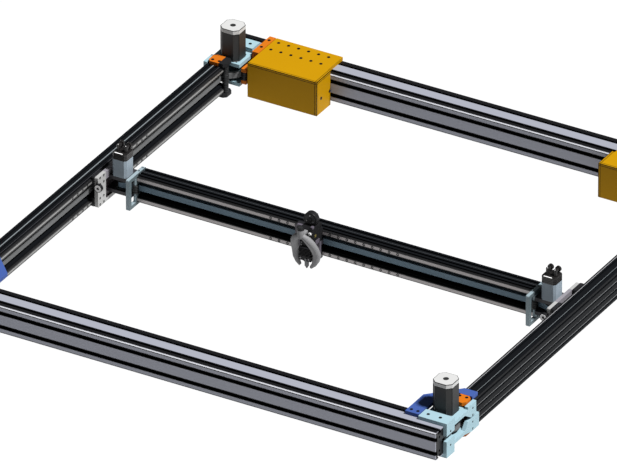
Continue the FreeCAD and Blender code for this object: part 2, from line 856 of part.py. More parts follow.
# Ends of the cross beam: end plate, servo with its pulley, bridges and the carriage plate
end_right = cross_left
end_left = end_right - s.end_plate
carriage_left = side_seat + s.block_top
carriage_right = carriage_left + s.carriage_plate
servo = (inward(s.servo_in), s.cross_place + s.servo_ahead)
cross_roller_spot = (inward(s.cross_roller_in), s.cross_place - s.cross_roller_front)
plate_low = s.cross_place - s.end_front
plate_high = s.cross_place + s.end_back
end_piece = cut(
    "left_end_plate",
    profile("end_plate_blank", "YZ", end_left, s.end_plate,
            bevelled((plate_low, top - s.end_drop), (plate_high, top + s.end_rise), s.end_bevel)),
    [
        box("end_window", (end_left, s.cross_place - s.window_front, top - s.window_bottom),
            (s.end_plate, s.window_front + s.window_back, s.window_bottom - s.window_top)),
    ],
)
window_height = s.window_bottom - s.window_top
end_axle = rod("end_axle", (*cross_roller_spot, top - s.window_bottom), s.axle, window_height)
end_group = fused("left_end_with_axle", [end_piece, end_axle])
keep("left_end_plate", end_group)
keep("right_end_plate", mirrored("right_end_plate", end_group, "X"))

clamp_low = s.cross_place - s.carriage_front + (s.carriage_front + s.carriage_back) / 2 - s.clamp_length / 2
clamp_start = inward(s.outer_guide_in) - s.roller + s.belt_gap
ring = (carriage_right + s.bumper, s.cross_place - s.carriage_front, top - s.bumper_drop)
carriage = grouped("left_carriage_plate", [
    fused("left_carriage", [
        profile("carriage_blank", "YZ", carriage_left, s.carriage_plate,
                bevelled((s.cross_place - s.carriage_front, top - s.carriage_drop),
                         (s.cross_place + s.carriage_back, top + s.carriage_rise), s.carriage_bevel)),
        box("belt_clamp", (clamp_start, clamp_low, belt_level - s.clamp_height / 2),
            (carriage_left - clamp_start, s.clamp_length, s.clamp_height)),
    ]),
    cut("left_bumper", rod("left_bumper_ring", ring, s.bumper, s.bumper_length, "Y"),
        [rod("left_bumper_eye", ring, s.bumper_eye, s.bumper_length, "Y")]),
])
keep("left_carriage_plate", carriage)
keep("right_carriage_plate", mirrored("right_carriage_plate", carriage, "X"))
block_rows = (
    s.cross_place - s.carriage_front + s.plate, s.cross_place + s.carriage_back - s.plate - s.block_length
)
blocks = grouped("left_blocks", [
    profile(f"carriage_block_{i}_{j}", "XZ", start, s.block_length, block_section(side_seat, 1, level))
    for i, level in enumerate(rail_levels)
    for j, start in enumerate(block_rows)
])
keep("carriage_blocks", grouped("carriage_blocks", [blocks, mirrored("right_blocks", blocks, "X")]))

bridge_back = plate_high
servo_front = servo[1] - s.servo_width / 2
bridge_corners = [
    (carriage_right, servo_front), (end_left, servo_front),
    (end_left, bridge_back), (carriage_right, bridge_back),
]
servo_hole = (*servo, s.servo_shaft + s.shaft_fit)
servo_seat = top - s.servo_foot
bridges = grouped("left_bridges", [
    profile("upper_bridge", "XY", servo_seat - s.servo_flange, s.servo_flange, bridge_corners, [servo_hole]),
    profile("lower_bridge", "XY", top - s.low_bridge_drop - s.low_bridge, s.low_bridge,
            bridge_corners, [servo_hole]),
])
keep("servo_bridges", grouped("servo_bridges", [bridges, mirrored("right_bridges", bridges, "X")]))
servo_square = cut_square(servo, s.servo_width, s.servo_bevel)
plugs = []
for i, way in enumerate((-1, 1)):
    base = (servo[0] + s.servo_width / 4 * way - s.plug_width / 2, servo[1])
    low = servo_seat + s.servo_body + s.servo_cap
    plugs.append(box(f"plug_{i}", (*base, low), (s.plug_width, s.plug_width, s.plug_height)))
    plugs.append(box(
        f"elbow_{i}", (base[0], base[1] + s.plug_width, low + s.plug_height - s.plug_width),
        (s.plug_width, s.plug_reach, s.plug_width),
    ))
servo_piece = fused("left_servo", [
    cut("servo_case", profile("servo_blank", "XY", servo_seat, s.servo_body, servo_square),
        [rod("servo_bore", (*servo, servo_seat), s.servo_shaft + s.shaft_fit, shaft_reach)]),
    profile("servo_top", "XY", servo_seat + s.servo_body, s.servo_cap, servo_square),
] + plugs)
keep("left_servo", servo_piece)
keep("right_servo", mirrored("right_servo", servo_piece, "X"))

pulley_low = belt_level - s.cross_pulley_height / 2
bridge_top = top - s.low_bridge_drop
servo_pulley = fused("left_servo_pulley", [
    rod("servo_pulley_seat", (*servo, pulley_low), s.cross_pulley, s.cross_pulley_height),
    rod("servo_pulley_low_rim", (*servo, pulley_low), s.cross_pulley_rim, s.rim_height),
    rod("servo_pulley_high_rim", (*servo, pulley_low + s.cross_pulley_height - s.rim_height),
        s.cross_pulley_rim, s.rim_height),
    rod("servo_pulley_shaft", (*servo, bridge_top - s.low_bridge), s.servo_shaft,
        servo_seat + shaft_reach - s.shaft_end - bridge_top + s.low_bridge),
])
keep("left_servo_pulley", servo_pulley)
keep("right_servo_pulley", mirrored("right_servo_pulley", servo_pulley, "X"))
cross_roller = roller("left_cross_roller", cross_roller_spot, s.cross_roller, s.axle)
keep("left_cross_roller", cross_roller)
keep("right_cross_roller", mirrored("right_cross_roller", cross_roller, "X"))
cross_wheels = [
    (-servo[0], servo[1], s.cross_pulley, 1), (*servo, s.cross_pulley, 1),
    (*cross_roller_spot, s.cross_roller, -1),
    (-cross_roller_spot[0], cross_roller_spot[1], s.cross_roller, -1),
]
keep("cross_belt", belt("cross_belt", cross_wheels, sizes["cross_belt"], sizes["belt_width"]))

# Tool head
tool = s.tool_place
seat = s.cross_place
plate_back = seat - s.block_top
plate_front = plate_back - s.tool_plate
tool_low = tool - s.tool_left
tool_clamp = seat - s.cross_roller_front + s.cross_roller
keep("tool_plate", fused("tool_plate", [
    profile("tool_blank", "XZ", plate_front, s.tool_plate, bevelled(
        (tool_low, top - s.carriage_drop), (tool + s.tool_right, top + s.carriage_rise), s.carriage_bevel
    )),
    box("tool_clamp", (tool_low + s.tool_left / 2, plate_back, belt_level - s.clamp_height / 2),
        (s.clamp_length, tool_clamp - plate_back, s.clamp_height)),
]))
first_block = tool_low + s.tool_block_start
tool_block_rows = (first_block, first_block + s.tool_block + s.tool_block_gap)
keep("tool_blocks", grouped("tool_blocks", [
    profile(f"tool_block_{i}_{j}", "YZ", start, s.tool_block, block_section(seat, -1, level))
    for i, level in enumerate(rail_levels)
    for j, start in enumerate(tool_block_rows)
]))
nozzle_y = seat - s.nozzle_front
tip = top - s.nozzle_drop
nozzle_top = tip + s.nozzle_cone + s.heater_nozzle
keep("nozzle", fused("nozzle", [
    cone("nozzle_tip", (tool, nozzle_y, tip), s.nozzle_mouth, s.nozzle_neck, s.nozzle_cone),
    rod("nozzle_barrel", (tool, nozzle_y, tip + s.nozzle_cone), s.nozzle_body, s.heater_nozzle),
]))
keep("heater_block", box(
    "heater_block", (tool - s.heater_width / 2, nozzle_y - s.heater_width / 2, nozzle_top),
    (s.heater_length, s.heater_width, s.heater_height),
))
sink_low = nozzle_top + s.heater_height
fin_pitch = s.sink_height / sizes["fin_count"]
keep("heat_sink", fused("heat_sink", [
    rod("sink_core", (tool, nozzle_y, sink_low), s.sink_core, s.sink_height)
] + [
    rod(f"fin_{i}", (tool, nozzle_y, sink_low + fin_pitch * i + fin_pitch - s.fin), s.sink_radius, s.fin)
    for i in range(sizes["fin_count"])
]))
drive_low = sink_low + s.sink_height
drive_face = seat - s.drive_front
gear_level = drive_low + s.drive_height - s.drive_motor - s.gear_drop
room = (tool, drive_face, gear_level)
gear_start = (tool, drive_face + s.gear_front, gear_level)
keep("extruder_body", cut(
    "extruder_body",
    box("extruder_case", (tool - s.drive_left, drive_face, drive_low),
        (s.drive_left + s.drive_right, plate_front - drive_face, s.drive_height)),
    [rod("gear_room", room, s.gear + s.gear_gap, s.gear_length + s.gear_front * 2, "Y"),
     rod("gear_shaft_bore", room, s.servo_shaft + s.shaft_fit, s.gear_shaft + s.gear_front * 2, "Y")],
))
keep("extruder_gear", fused("extruder_gear", [
    rod("gear_wheel", gear_start, s.gear, s.gear_length, "Y"),
    rod("gear_shaft", gear_start, s.servo_shaft, s.gear_shaft, "Y"),
]))
keep("extruder_motor", rod(
    "extruder_motor",
    (tool + s.drive_motor_in, plate_front - s.drive_motor_back, drive_low + s.drive_height + s.drive_motor),
    s.drive_motor, s.drive_motor_length, "Y",
))


# Cooling duct: a socket that splits into two arms curving in to the nozzle
def duct_section(name, at, radius, lean):
    item = doc.addObject("Part::Circle", name)
    item.Placement = Placement(Vector(), Rotation(Vector(0, 1, 0), lean))
    bind(item, "Radius", radius)
    return put(item, at)


def duct_arm(name, bulge, bulge_drop, end, way):
    duct_y = seat - s.duct_front
    socket_x = tool + s.duct_in
    shoulder_x = socket_x + bulge * s.duct_shoulder * way
    neck_x = tool + (end + s.duct_neck_out) * way
    sweep, neck_lean, tip_lean = (
        sizes[lean] * way for lean in ("duct_sweep", "duct_neck_lean", "duct_tip_lean")
    )
    stations = (
        (socket_x + s.duct_split * way, duct_y, top + s.duct_foot + s.duct_split, s.duct_throat, 0),
        (shoulder_x, duct_y, top - bulge_drop * s.duct_shoulder_drop, s.duct_tube, -sweep),
        (socket_x + bulge * way, duct_y + s.duct_bulge_in, top - bulge_drop, s.duct_tube, 0),
        (neck_x, seat - s.duct_neck_front, top - s.duct_neck_drop, s.duct_neck, neck_lean),
        (tool + end * way, seat - s.duct_tip_front, top - s.duct_tip_drop, s.duct_tip, tip_lean),
    )
    sections = [
        duct_section(f"{name}_{i}", station[:3], station[3], station[4]) for i, station in enumerate(stations)
    ]
    item = doc.addObject("Part::Loft", name)
    item.Sections = sections
    item.Solid = True
    return item


keep("cooling_duct", fused("cooling_duct", [
    rod("duct_socket", (tool + s.duct_in, seat - s.duct_front, top + s.duct_foot), s.duct_socket,
        s.duct_rise - s.duct_foot),
    box("duct_lug", (tool + s.duct_in - s.duct_lug / 2, seat - s.duct_front, top + s.duct_foot),
        (s.duct_lug, s.duct_front - s.drive_front, s.duct_lug)),
    duct_arm("left_arm", s.duct_left, s.duct_left_drop, s.duct_left_tip, -1),
    duct_arm("right_arm", s.duct_right, s.duct_right_drop, s.duct_right_tip, 1),
]))

doc.recompute()
for item in doc.Objects:
    if {"Invalid", "Error"} & set(item.State):
        raise RuntimeError(f"{item.Label} failed: {item.State}")
for node, item in parts.items():
    shape = item.Shape
    if shape.isNull() or not shape.isValid() or shape.Volume <= 0:
        raise RuntimeError(f"{node} has no valid solid")

os.makedirs("parts", exist_ok=True)
for node, item in parts.items():
    item.Shape.exportStep(f"parts/{node}.step")
print(len(parts), "nodes written")
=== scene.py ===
import math

import bmesh
import bpy
from mathutils import Matrix, Vector


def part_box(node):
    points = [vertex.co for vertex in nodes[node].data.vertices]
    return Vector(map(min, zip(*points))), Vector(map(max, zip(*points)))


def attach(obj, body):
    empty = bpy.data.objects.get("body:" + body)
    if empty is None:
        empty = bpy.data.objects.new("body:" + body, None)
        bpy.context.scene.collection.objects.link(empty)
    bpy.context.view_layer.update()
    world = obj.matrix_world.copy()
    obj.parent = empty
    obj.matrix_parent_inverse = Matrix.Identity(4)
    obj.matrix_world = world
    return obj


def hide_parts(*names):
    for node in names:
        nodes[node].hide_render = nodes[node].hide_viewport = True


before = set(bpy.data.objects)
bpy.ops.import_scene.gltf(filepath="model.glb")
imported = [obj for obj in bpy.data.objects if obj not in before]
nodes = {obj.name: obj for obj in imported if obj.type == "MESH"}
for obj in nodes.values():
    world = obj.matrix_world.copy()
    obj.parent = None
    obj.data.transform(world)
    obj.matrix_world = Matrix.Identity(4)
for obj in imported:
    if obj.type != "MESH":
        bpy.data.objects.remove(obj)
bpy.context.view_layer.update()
mm = 0.001
print("frame loaded")

# The photograph is an isometric view: a far camera with a long lens gives the same lines.
viewSetup = {
    "azimuth": 30, "elevation": 30,  # degrees
    "target": (-0.060, -0.0465, 0.090),  # what the middle of the picture looks at
    "width": 1.578,  # metres across the picture
    "lens": 1200, "sensor": 36,
    "clip": (0.1, 2),  # shares of the camera's distance
}


def wayTo(azimuth, elevation):
    # the way from the machine to what stands at these angles, in degrees
    turn, rise = math.radians(azimuth), math.radians(elevation)
    return Vector((math.sin(turn) * math.cos(rise), -math.cos(turn) * math.cos(rise), math.sin(rise)))


def placed(name, data):
    piece = bpy.data.objects.new(name, data)
    bpy.context.scene.collection.objects.link(piece)
    return piece


def aimed(name, data, way):
    # a camera or lamp that looks back along the way
    piece = placed(name, data)
    piece.rotation_mode = "QUATERNION"
    piece.rotation_quaternion = (-way).to_track_quat("-Z", "Y")
    return piece


def makeCamera(setup):
    camera = bpy.data.cameras.new("camera")
    camera.lens = setup["lens"]
    camera.sensor_width = setup["sensor"]
    distance = setup["width"] * setup["lens"] / setup["sensor"]
    camera.clip_start, camera.clip_end = (distance * share for share in setup["clip"])
    way = wayTo(setup["azimuth"], setup["elevation"])
    piece = aimed("camera", camera, way)
    piece.location = Vector(setup["target"]) + way * distance
    bpy.context.scene.camera = piece


makeCamera(viewSetup)

# Studio: a white floor that lights everything from below, and one strong lamp high on the right
studio = {
    "world": 0.1, "floor": 1.02, "floorSize": 40,
    "keyTurn": 96, "keyRise": 60, "keyPower": 6.7, "keyAngle": 9,
}


def makeStudio(setup):
    world = bpy.data.worlds.new("studio")
    world.use_nodes = True
    background = world.node_tree.nodes["Background"]
    background.inputs["Color"].default_value = (1, 1, 1, 1)
    background.inputs["Strength"].default_value = setup["world"]
    bpy.context.scene.world = world
    bpy.context.scene.view_settings.view_transform = "Standard"
    lamp = bpy.data.lights.new("key", "SUN")
    lamp.energy = setup["keyPower"]
    lamp.angle = math.radians(setup["keyAngle"])
    aimed("key", lamp, wayTo(setup["keyTurn"], setup["keyRise"]))


makeStudio(studio)
print("camera and lights set")


class Wire:  # an output socket, so that shader maths can be written as sums
    def __init__(self, finish, socket):
        self.finish, self.socket = finish, socket

    def __add__(self, other):
        return self.finish.maths("ADD", self, other)

    def __sub__(self, other):
        return self.finish.maths("SUBTRACT", self, other)

    def __rsub__(self, other):
        return self.finish.maths("SUBTRACT", other, self)

    def __mul__(self, other):
        return self.finish.maths("MULTIPLY", self, other)

    def __gt__(self, other):
        return self.finish.maths("GREATER_THAN", self, other)

    def __lt__(self, other):
        return self.finish.maths("LESS_THAN", self, other)


class Finish:  # a material while its nodes are being set
    def __init__(self, name, roughness=0.5, metallic=0.0, shine=0.5):
        self.material = bpy.data.materials.new(name)
        self.material.use_nodes = True
        self.tree = self.material.node_tree
        self.shader = self.tree.nodes["Principled BSDF"]
        self.set("Roughness", roughness)
        self.set("Metallic", metallic)
        self.set("Specular IOR Level", shine)
        self.place = self.node("ShaderNodeTexCoord", {}, {}, "Object")

    def node(self, kind, settings, sockets, output=0):
        made = self.tree.nodes.new(kind)
        for name, value in settings.items():
            setattr(made, name, value)
        for name, value in sockets.items():
            self.feed(made.inputs[name], value)
        return Wire(self, made.outputs[output])

    def feed(self, socket, value):
        if isinstance(value, Wire):
            self.tree.links.new(value.socket, socket)
        elif socket.type == "RGBA" and len(value) == 3:
            socket.default_value = (*value, 1)
        else:
            socket.default_value = value

    def maths(self, operation, first, second=0.0):
        return self.node("ShaderNodeMath", {"operation": operation}, {0: first, 1: second})

    def set(self, name, value):
        self.feed(self.shader.inputs[name], value)

    def mix(self, share, low, high):
        return self.node("ShaderNodeMix", {"data_type": "RGBA"}, {0: share, 6: low, 7: high}, 2)

    def noise(self, scale, stretch=(1, 1, 1), detail=3.0):
        spread = self.node("ShaderNodeMapping", {}, {"Vector": self.place, "Scale": stretch})
        return self.node("ShaderNodeTexNoise", {}, {"Vector": spread, "Scale": scale, "Detail": detail})

    def axes(self):
        parts = self.tree.nodes.new("ShaderNodeSeparateXYZ")
        self.tree.links.new(self.place.socket, parts.inputs[0])
        return [Wire(self, parts.outputs[i]) for i in range(3)]

    def bump(self, height, strength, distance):
        self.set("Normal", self.node("ShaderNodeBump", {}, {
            "Height": height, "Strength": strength, "Distance": distance,
        }))

    def speckle(self, middle):  # a fine grain in the roughness, to both sides of its middle
        self.set("Roughness", self.noise(240.0) * 0.12 + (middle - 0.06))

    def coat(self):  # the faint bumps of a powder coat
        self.bump(self.noise(900.0, detail=1.0), 0.12, 0.0002)

    def drawn(self, stretch, least):  # fine lines along a drawn profile, in roughness and bump
        lines = self.noise(420.0, stretch, 2.0)
        self.set("Roughness", lines * 0.15 + least)
        self.bump(lines, 0.2, 0.0002)
        return lines


def painted(name, colour, roughness=0.42, metallic=0.0, spread=0.12, shine=0.3):
    # powder-coated or anodised plate: a faint cloud in the colour and a fine grain
    finish = Finish(name, roughness, metallic, shine)
    dark = tuple(c * (1 - spread) for c in colour)
    finish.set("Base Color", finish.mix(finish.noise(9.0), dark, colour))
    finish.speckle(roughness)
    finish.coat()
    return finish


def within(value, low, high):  # 1 between two values, in millimetres
    return (value > low * mm) * (value < high * mm)


def banded(finish, value, bands, colour):
    # paints bands over a colour; each is (low, high, colour) in millimetres of the value
    for low, high, paint in bands:
        colour = finish.mix(within(value, low, high), colour, paint)
    return colour


railLevels = (80, 20)  # middles of the upper and the lower rail
skin = 0.3  # how far a painted line reaches in from its face
beamLook = {
    "metallic": 0.1, "corner": 2.6, "pale": (0.29, 0.30, 0.35), "shade": 0.86,
    # the bright corner colour is a painted highlight; the black one also fills the slot hollows as painted
    # shade
    "bright": (0.55, 0.56, 0.60), "black": (0.004, 0.004, 0.005),
    "sideBands": [(13.8, 26.2, (0.004, 0.004, 0.005)), (35.2, 38, (0.01, 0.01, 0.01))],
    "topBands": [(14.2, 38.2, (0.004, 0.004, 0.005)), (36.4, 37.4, (0.16, 0.16, 0.17))],
}


def bigBeam(name):
    # pale drawn aluminium: slot hollows painted black as shade, a pale middle strip on top, and cut corners
    # painted bright as a highlight
    low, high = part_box(name)
    finish = Finish(name + "Finish", 0.4, beamLook["metallic"], 0.3)
    lines = finish.drawn((0.02, 1, 1), 0.32)
    x, y, z = finish.axes()
    across = finish.maths("ABSOLUTE", y - (low[1] + high[1]) / 2)
    level = finish.maths("ABSOLUTE", z - (low[2] + high[2]) / 2)
    half = (high[2] - low[2]) / 2
    inward = half - beamLook["corner"] * mm
    wall = finish.mix(lines, tuple(c * beamLook["shade"] for c in beamLook["pale"]), beamLook["pale"])
    sides = banded(finish, level, beamLook["sideBands"], wall)
    flat = banded(finish, across, beamLook["topBands"], wall)
    colour = finish.mix(level > half - skin * mm, sides, flat)
    # the cut corners are painted bright: a painted highlight along the edges
    cut = finish.maths("MINIMUM", across, level) > inward
    colour = finish.mix(cut, colour, beamLook["bright"])
    # the slot hollows are painted black: painted shade
    slotShade = finish.maths("MAXIMUM", across, level) < inward
    finish.set("Base Color", finish.mix(slotShade, colour, beamLook["black"]))
    return finish


# the pale lines listed below are painted highlights along the edges of the black beams
channelLook = {  # the lines in millimetres from the outer face, or down from the top
    "black": (0.0055, 0.0062, 0.0075), "shade": 0.8, "side": 0.4,
    "left_beam": [(19, 22, (0.16, 0.18, 0.19)), (38, 39, (0.05, 0.05, 0.055))],
    "right_beam": [(11, 14, (0.16, 0.18, 0.19)), (38.6, 40, (0.3, 0.3, 0.31))],
    "cross_beam": [(19, 20, (0.06, 0.065, 0.07))],
    "outside": [(low, high, (0.14, 0.145, 0.15)) for low, high in ((25, 27), (46, 48), (65, 67))],
}


def channelBeam(name):
    # black drawn aluminium with thin pale lines painted along the edges of its faces as highlights
    low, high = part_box(name)
    finish = Finish(name + "Finish", 0.5, shine=0.04)
    cross = name == "cross_beam"
    lines = finish.drawn((0.02, 1, 1) if cross else (1, 0.02, 1), 0.34)
    x, y, z = finish.axes()
    black = channelLook["black"]
    colour = finish.mix(lines, tuple(c * channelLook["shade"] for c in black), black)
    depth = high[2] - z
    if cross:
        outer = y - low[1]
        walls = colour
    else:
        outer = x - low[0] if name == "left_beam" else high[0] - x
        # pale lines painted on the outer face along its edges: painted highlights
        outside = banded(finish, depth, channelLook["outside"], colour)
        walls = finish.mix(outer < channelLook["side"] * mm, colour, outside)
    # pale lines painted on the top face: painted highlights
    roof = banded(finish, outer, channelLook[name], colour)
    finish.set("Base Color", finish.mix(depth < skin * mm, walls, roof))
    return finish


def railSteel(name, width, colour):
    # ground steel: a pale strip along the middle of the face, dark flanks
    finish = Finish(name, 0.35, 0.3)
    x, y, z = finish.axes()
    near = finish.maths("MINIMUM", *(finish.maths("ABSOLUTE", z - level * mm) for level in railLevels))
    finish.set("Base Color", finish.mix(near < width / 2 * mm, (0.012, 0.012, 0.013), colour))
    finish.set("Roughness", finish.noise(300.0) * 0.1 + 0.3)
    return finish


carriageLook = {
    "pale": (0.35, 0.35, 0.345), "shade": (0.30, 0.30, 0.297), "dark": (0.022, 0.016, 0.020),
    "strip": (0.20, 0.19, 0.21), "pocketFace": 662.5, "pocketLength": (-45.5, 28.5),
    "pocketHeight": (15, 71), "bumper": -85.6,
}


def carriageFinish(name):
    # pale plate with a dark pocket, a grey strip over it and a black edge in front
    finish = Finish(name + "Finish", 0.45, shine=0.3)
    x, y, z = finish.axes()
    inner = finish.maths("ABSOLUTE", x)  # grows towards the beam it runs on
    length = within(y, *carriageLook["pocketLength"])
    low, high = carriageLook["pocketHeight"]
    pocket = (inner > carriageLook["pocketFace"] * mm) * length * within(z, low, high)
    colour = finish.mix(finish.noise(14.0), carriageLook["shade"], carriageLook["pale"])
    colour = finish.mix(pocket, colour, carriageLook["dark"])
    colour = finish.mix(length * (z > high * mm), colour, carriageLook["strip"])
    finish.set("Base Color", finish.mix(y < carriageLook["bumper"] * mm, colour, beamLook["black"]))
    finish.speckle(0.46)
    return finish


liftLook = {
    # the dark line colour marks each edge, and along each bend it is painted shade
    "yellow": (0.375, 0.192, 0.001), "shade": (0.345, 0.175, 0.001), "line": (0.02, 0.012, 0.001),
    "lines": ((-1, 1.6), (5.0, 6.6)),  # edge and bend lines, in millimetres from the corner
}


def liftFinish(name):
    # yellow sheet with a dark line along each edge and a dark line of painted shade along each bend, on the
    # front and the open side
    low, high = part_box(name)
    finish = Finish(name + "Finish", 0.5, shine=0.06)
    x, y, z = finish.axes()
    colour = finish.mix(finish.noise(9.0), liftLook["shade"], liftLook["yellow"])
    side = high[0] - x if low[0] < 0 else x - low[0]
    depths = (y - low[1], high[2] - z, side)
    for first, second in ((0, 1), (0, 2), (1, 2)):
        for near, far in liftLook["lines"]:
            on = (depths[second] < skin * mm) * within(depths[first], near, far)
            on = on + (depths[first] < skin * mm) * within(depths[second], near, far)
            # a dark line at each edge, and a dark line of painted shade along each bend
            colour = finish.mix(finish.maths("MINIMUM", on, 1.0), colour, liftLook["line"])
    finish.set("Base Color", colour)
    finish.speckle(0.5)
    finish.coat()
    return finish


guideLook = {
    "orange": (0.46, 0.12, 0.006), "shade": (0.41, 0.105, 0.006), "black": (0.012, 0.012, 0.013),
    "carrier": 690,  # the black end lies nearer than this to the middle of the machine
}


def guideFinish(name):
    # orange plate whose end over the guide roller is a black bearing carrier
    finish = Finish(name + "Finish", 0.5, shine=0.1)
    x, y, z = finish.axes()
    colour = finish.mix(finish.noise(9.0), guideLook["shade"], guideLook["orange"])
    carrier = finish.maths("ABSOLUTE", x) < guideLook["carrier"] * mm
    finish.set("Base Color", finish.mix(carrier, colour, guideLook["black"]))
    finish.speckle(0.5)
    return finish


endLook = {
    "pale": (0.24, 0.30, 0.33), "shade": (0.21, 0.265, 0.29), "dark": (0.085, 0.11, 0.12),
    "middle": 590, "broad": 4.7,
}


def endFinish():
    # grey-blue plate: dark broad faces and paler narrow ones
    finish = Finish("endPlateFinish", 0.5, shine=0.1)
    x, y, z = finish.axes()
    spread = finish.maths("ABSOLUTE", finish.maths("ABSOLUTE", x) - endLook["middle"] * mm)
    pale = finish.mix(finish.noise(9.0), endLook["shade"], endLook["pale"])
    finish.set("Base Color", finish.mix(spread > endLook["broad"] * mm, pale, endLook["dark"]))
    finish.speckle(0.5)
    return finish


finishes = {
    "screw": painted("screwBlack", (0.012, 0.012, 0.013), 0.35, 0.4),
    "screwPale": painted("screwSteel", (0.30, 0.30, 0.31), 0.3, 0.6),
    "block": painted("blockBlack", (0.012, 0.012, 0.014)),
    "lightBlue": painted("lightBluePlate", (0.27, 0.40, 0.45), 0.5, shine=0.1),
    "deepBlue": painted("deepBluePlate", (0.041, 0.080, 0.263), 0.5, shine=0.1),
    "orange": painted("orangePlate", (0.46, 0.12, 0.006), 0.5, shine=0.1),
    "stator": painted("statorBlack", (0.018, 0.018, 0.018), 0.5),
    "cap": painted("capPale", (0.46, 0.46, 0.455), 0.5, shine=0.1),
    "wheel": painted("wheelBlack", (0.016, 0.017, 0.018), 0.5),
    "pulley": painted("pulleyTeal", (0.025, 0.034, 0.036), 0.45),
    "belt": painted("beltGrey", (0.115, 0.118, 0.12), 0.7, spread=0.25),
    "crossBelt": painted("beltBlueGrey", (0.12, 0.18, 0.23), 0.7, spread=0.25),
    "axle": painted("axleSteel", (0.30, 0.30, 0.31), 0.3, 0.5),
    "servo": painted("servoGrey", (0.25, 0.30, 0.345), 0.45, shine=0.15),
    "servoCap": painted("servoCapBlack", (0.010, 0.009, 0.009), 0.35, shine=0.5),
    # white for the bumper ring and the knob, and for small white pieces painted on as highlights
    "whiteAndPaintedHighlight": painted("whitePartsAndPaintedHighlights", (0.85, 0.85, 0.85), 0.5),
    "bridge": painted("bridgeDark", (0.03, 0.029, 0.034)),
    "mauve": painted("toolMauve", (0.09, 0.08, 0.10)),
    "nozzle": painted("nozzleMetal", (0.14, 0.145, 0.15), 0.35, 0.3),
    "headBlack": painted("headBlack", (0.008, 0.008, 0.009), 0.5, shine=0.2),
    "duct": painted("ductGrey", (0.20, 0.20, 0.205), 0.55, shine=0.15),
    "olive": painted("oliveBrass", (0.12, 0.10, 0.03), 0.45),
    "endPlate": endFinish(),
    "left_carriage": carriageFinish("left_carriage_plate"),
    "right_carriage": carriageFinish("right_carriage_plate"),
}


def assign(finish, *names):
    for name in names:
        mesh = nodes[name].data
        mesh.materials.clear()
        mesh.materials.append(finish.material)


def named(*ends):
    return [name for name in nodes if name.endswith(ends)]


for makeFinish, ends in (
    (bigBeam, ["front_beam", "back_beam"]), (channelBeam, ["left_beam", "right_beam", "cross_beam"]),
    (liftFinish, ["_lift_bracket"]), (guideFinish, ["_guide_brackets"]),
):
    for name in named(*ends):
        assign(makeFinish(name), name)
assign(railSteel("sideRailSteel", 5, (0.22, 0.22, 0.215)), "side_rails")
assign(railSteel("crossRailSteel", 8, (0.33, 0.31, 0.31)), "cross_rails")
for finish, ends in (
    ("block", ["_blocks"]), ("lightBlue", ["_corner_bracket"]), ("deepBlue", ["_corner_plate"]),
    ("orange", ["_tension_bracket"]), ("stator", ["_motor"]), ("wheel", ["_pulley", "_roller"]),
    ("belt", ["left_belt", "right_belt"]), ("crossBelt", ["cross_belt"]), ("axle", ["guide_axles"]),
    ("endPlate", ["_end_plate"]), ("left_carriage", ["left_carriage_plate"]),
    ("right_carriage", ["right_carriage_plate"]), ("servo", ["_servo"]), ("bridge", ["servo_bridges"]),
    ("mauve", ["tool_plate"]), ("nozzle", ["nozzle"]), ("duct", ["cooling_duct"]),
    ("headBlack", ["heater_block", "heat_sink", "extruder_body", "extruder_motor", "extruder_gear"]),
):
    assign(finishes[finish], *named(*ends))
print("finishes set")


# Small forms, in millimetres, standing on the origin with +Z as their axis
def soften(form, edges, offset, segments=1):
    bmesh.ops.bevel(form, geom=edges, offset=offset, affect="EDGES", segments=segments, profile=0.5,
                    material=-1)


def along(form, axis):  # the edges that run along an axis
    return [
        edge for edge in form.edges
        if abs(getattr((edge.verts[0].co - edge.verts[1].co).normalized(), axis)) > 0.99
    ]


def edgesOf(verts):
    return list({edge for vert in verts for edge in vert.link_edges})


def only(kind, items):
    return [item for item in items if isinstance(item, kind)]


def meshOf(name, form):
    mesh = bpy.data.meshes.new(name)
    form.to_mesh(mesh)
    form.free()
    return mesh


def blockForm(size, rounding=0.0):
    form = bmesh.new()
    bmesh.ops.create_cube(form, size=1.0)
    bmesh.ops.scale(form, vec=size, verts=form.verts)
    bmesh.ops.translate(form, vec=(0, 0, size[2] / 2), verts=form.verts)
    if rounding:
        soften(form, form.edges[:], rounding, 2)
    return form


def rodForm(radius, length, sides=32, rounding=0.0, tip=None):
    form = bmesh.new()
    bmesh.ops.create_cone(form, cap_ends=True, segments=sides, radius1=radius,
                          radius2=radius if tip is None else tip, depth=length)
    bmesh.ops.translate(form, vec=(0, 0, length / 2), verts=form.verts)
    if rounding:
        flanks = along(form, "z")
        soften(form, [edge for edge in form.edges if edge not in flanks], rounding, 2)
    return form


def latheForm(steps, sides=32):
    # turns an outline of (radius, height) round the axis; the outline closes on itself
    form = bmesh.new()
    spots = [form.verts.new((radius, 0, height)) for radius, height in steps]
    lines = [form.edges.new((spots[i - 1], spots[i])) for i in range(len(spots))]
    bmesh.ops.spin(form, geom=spots + lines, cent=(0, 0, 0), axis=(0, 0, 1), angle=math.tau,
                   steps=sides, use_merge=True, use_duplicate=False)
    bmesh.ops.remove_doubles(form, verts=form.verts, dist=0.001)
    bmesh.ops.recalc_face_normals(form, faces=form.faces)
    return form


def ringForm(outer, inner, length, sides=32, chamfer=0.4):
    return latheForm([
        (inner, 0), (outer - chamfer, 0), (outer, chamfer), (outer, length - chamfer),
        (outer - chamfer, length), (inner, length),
    ], sides)


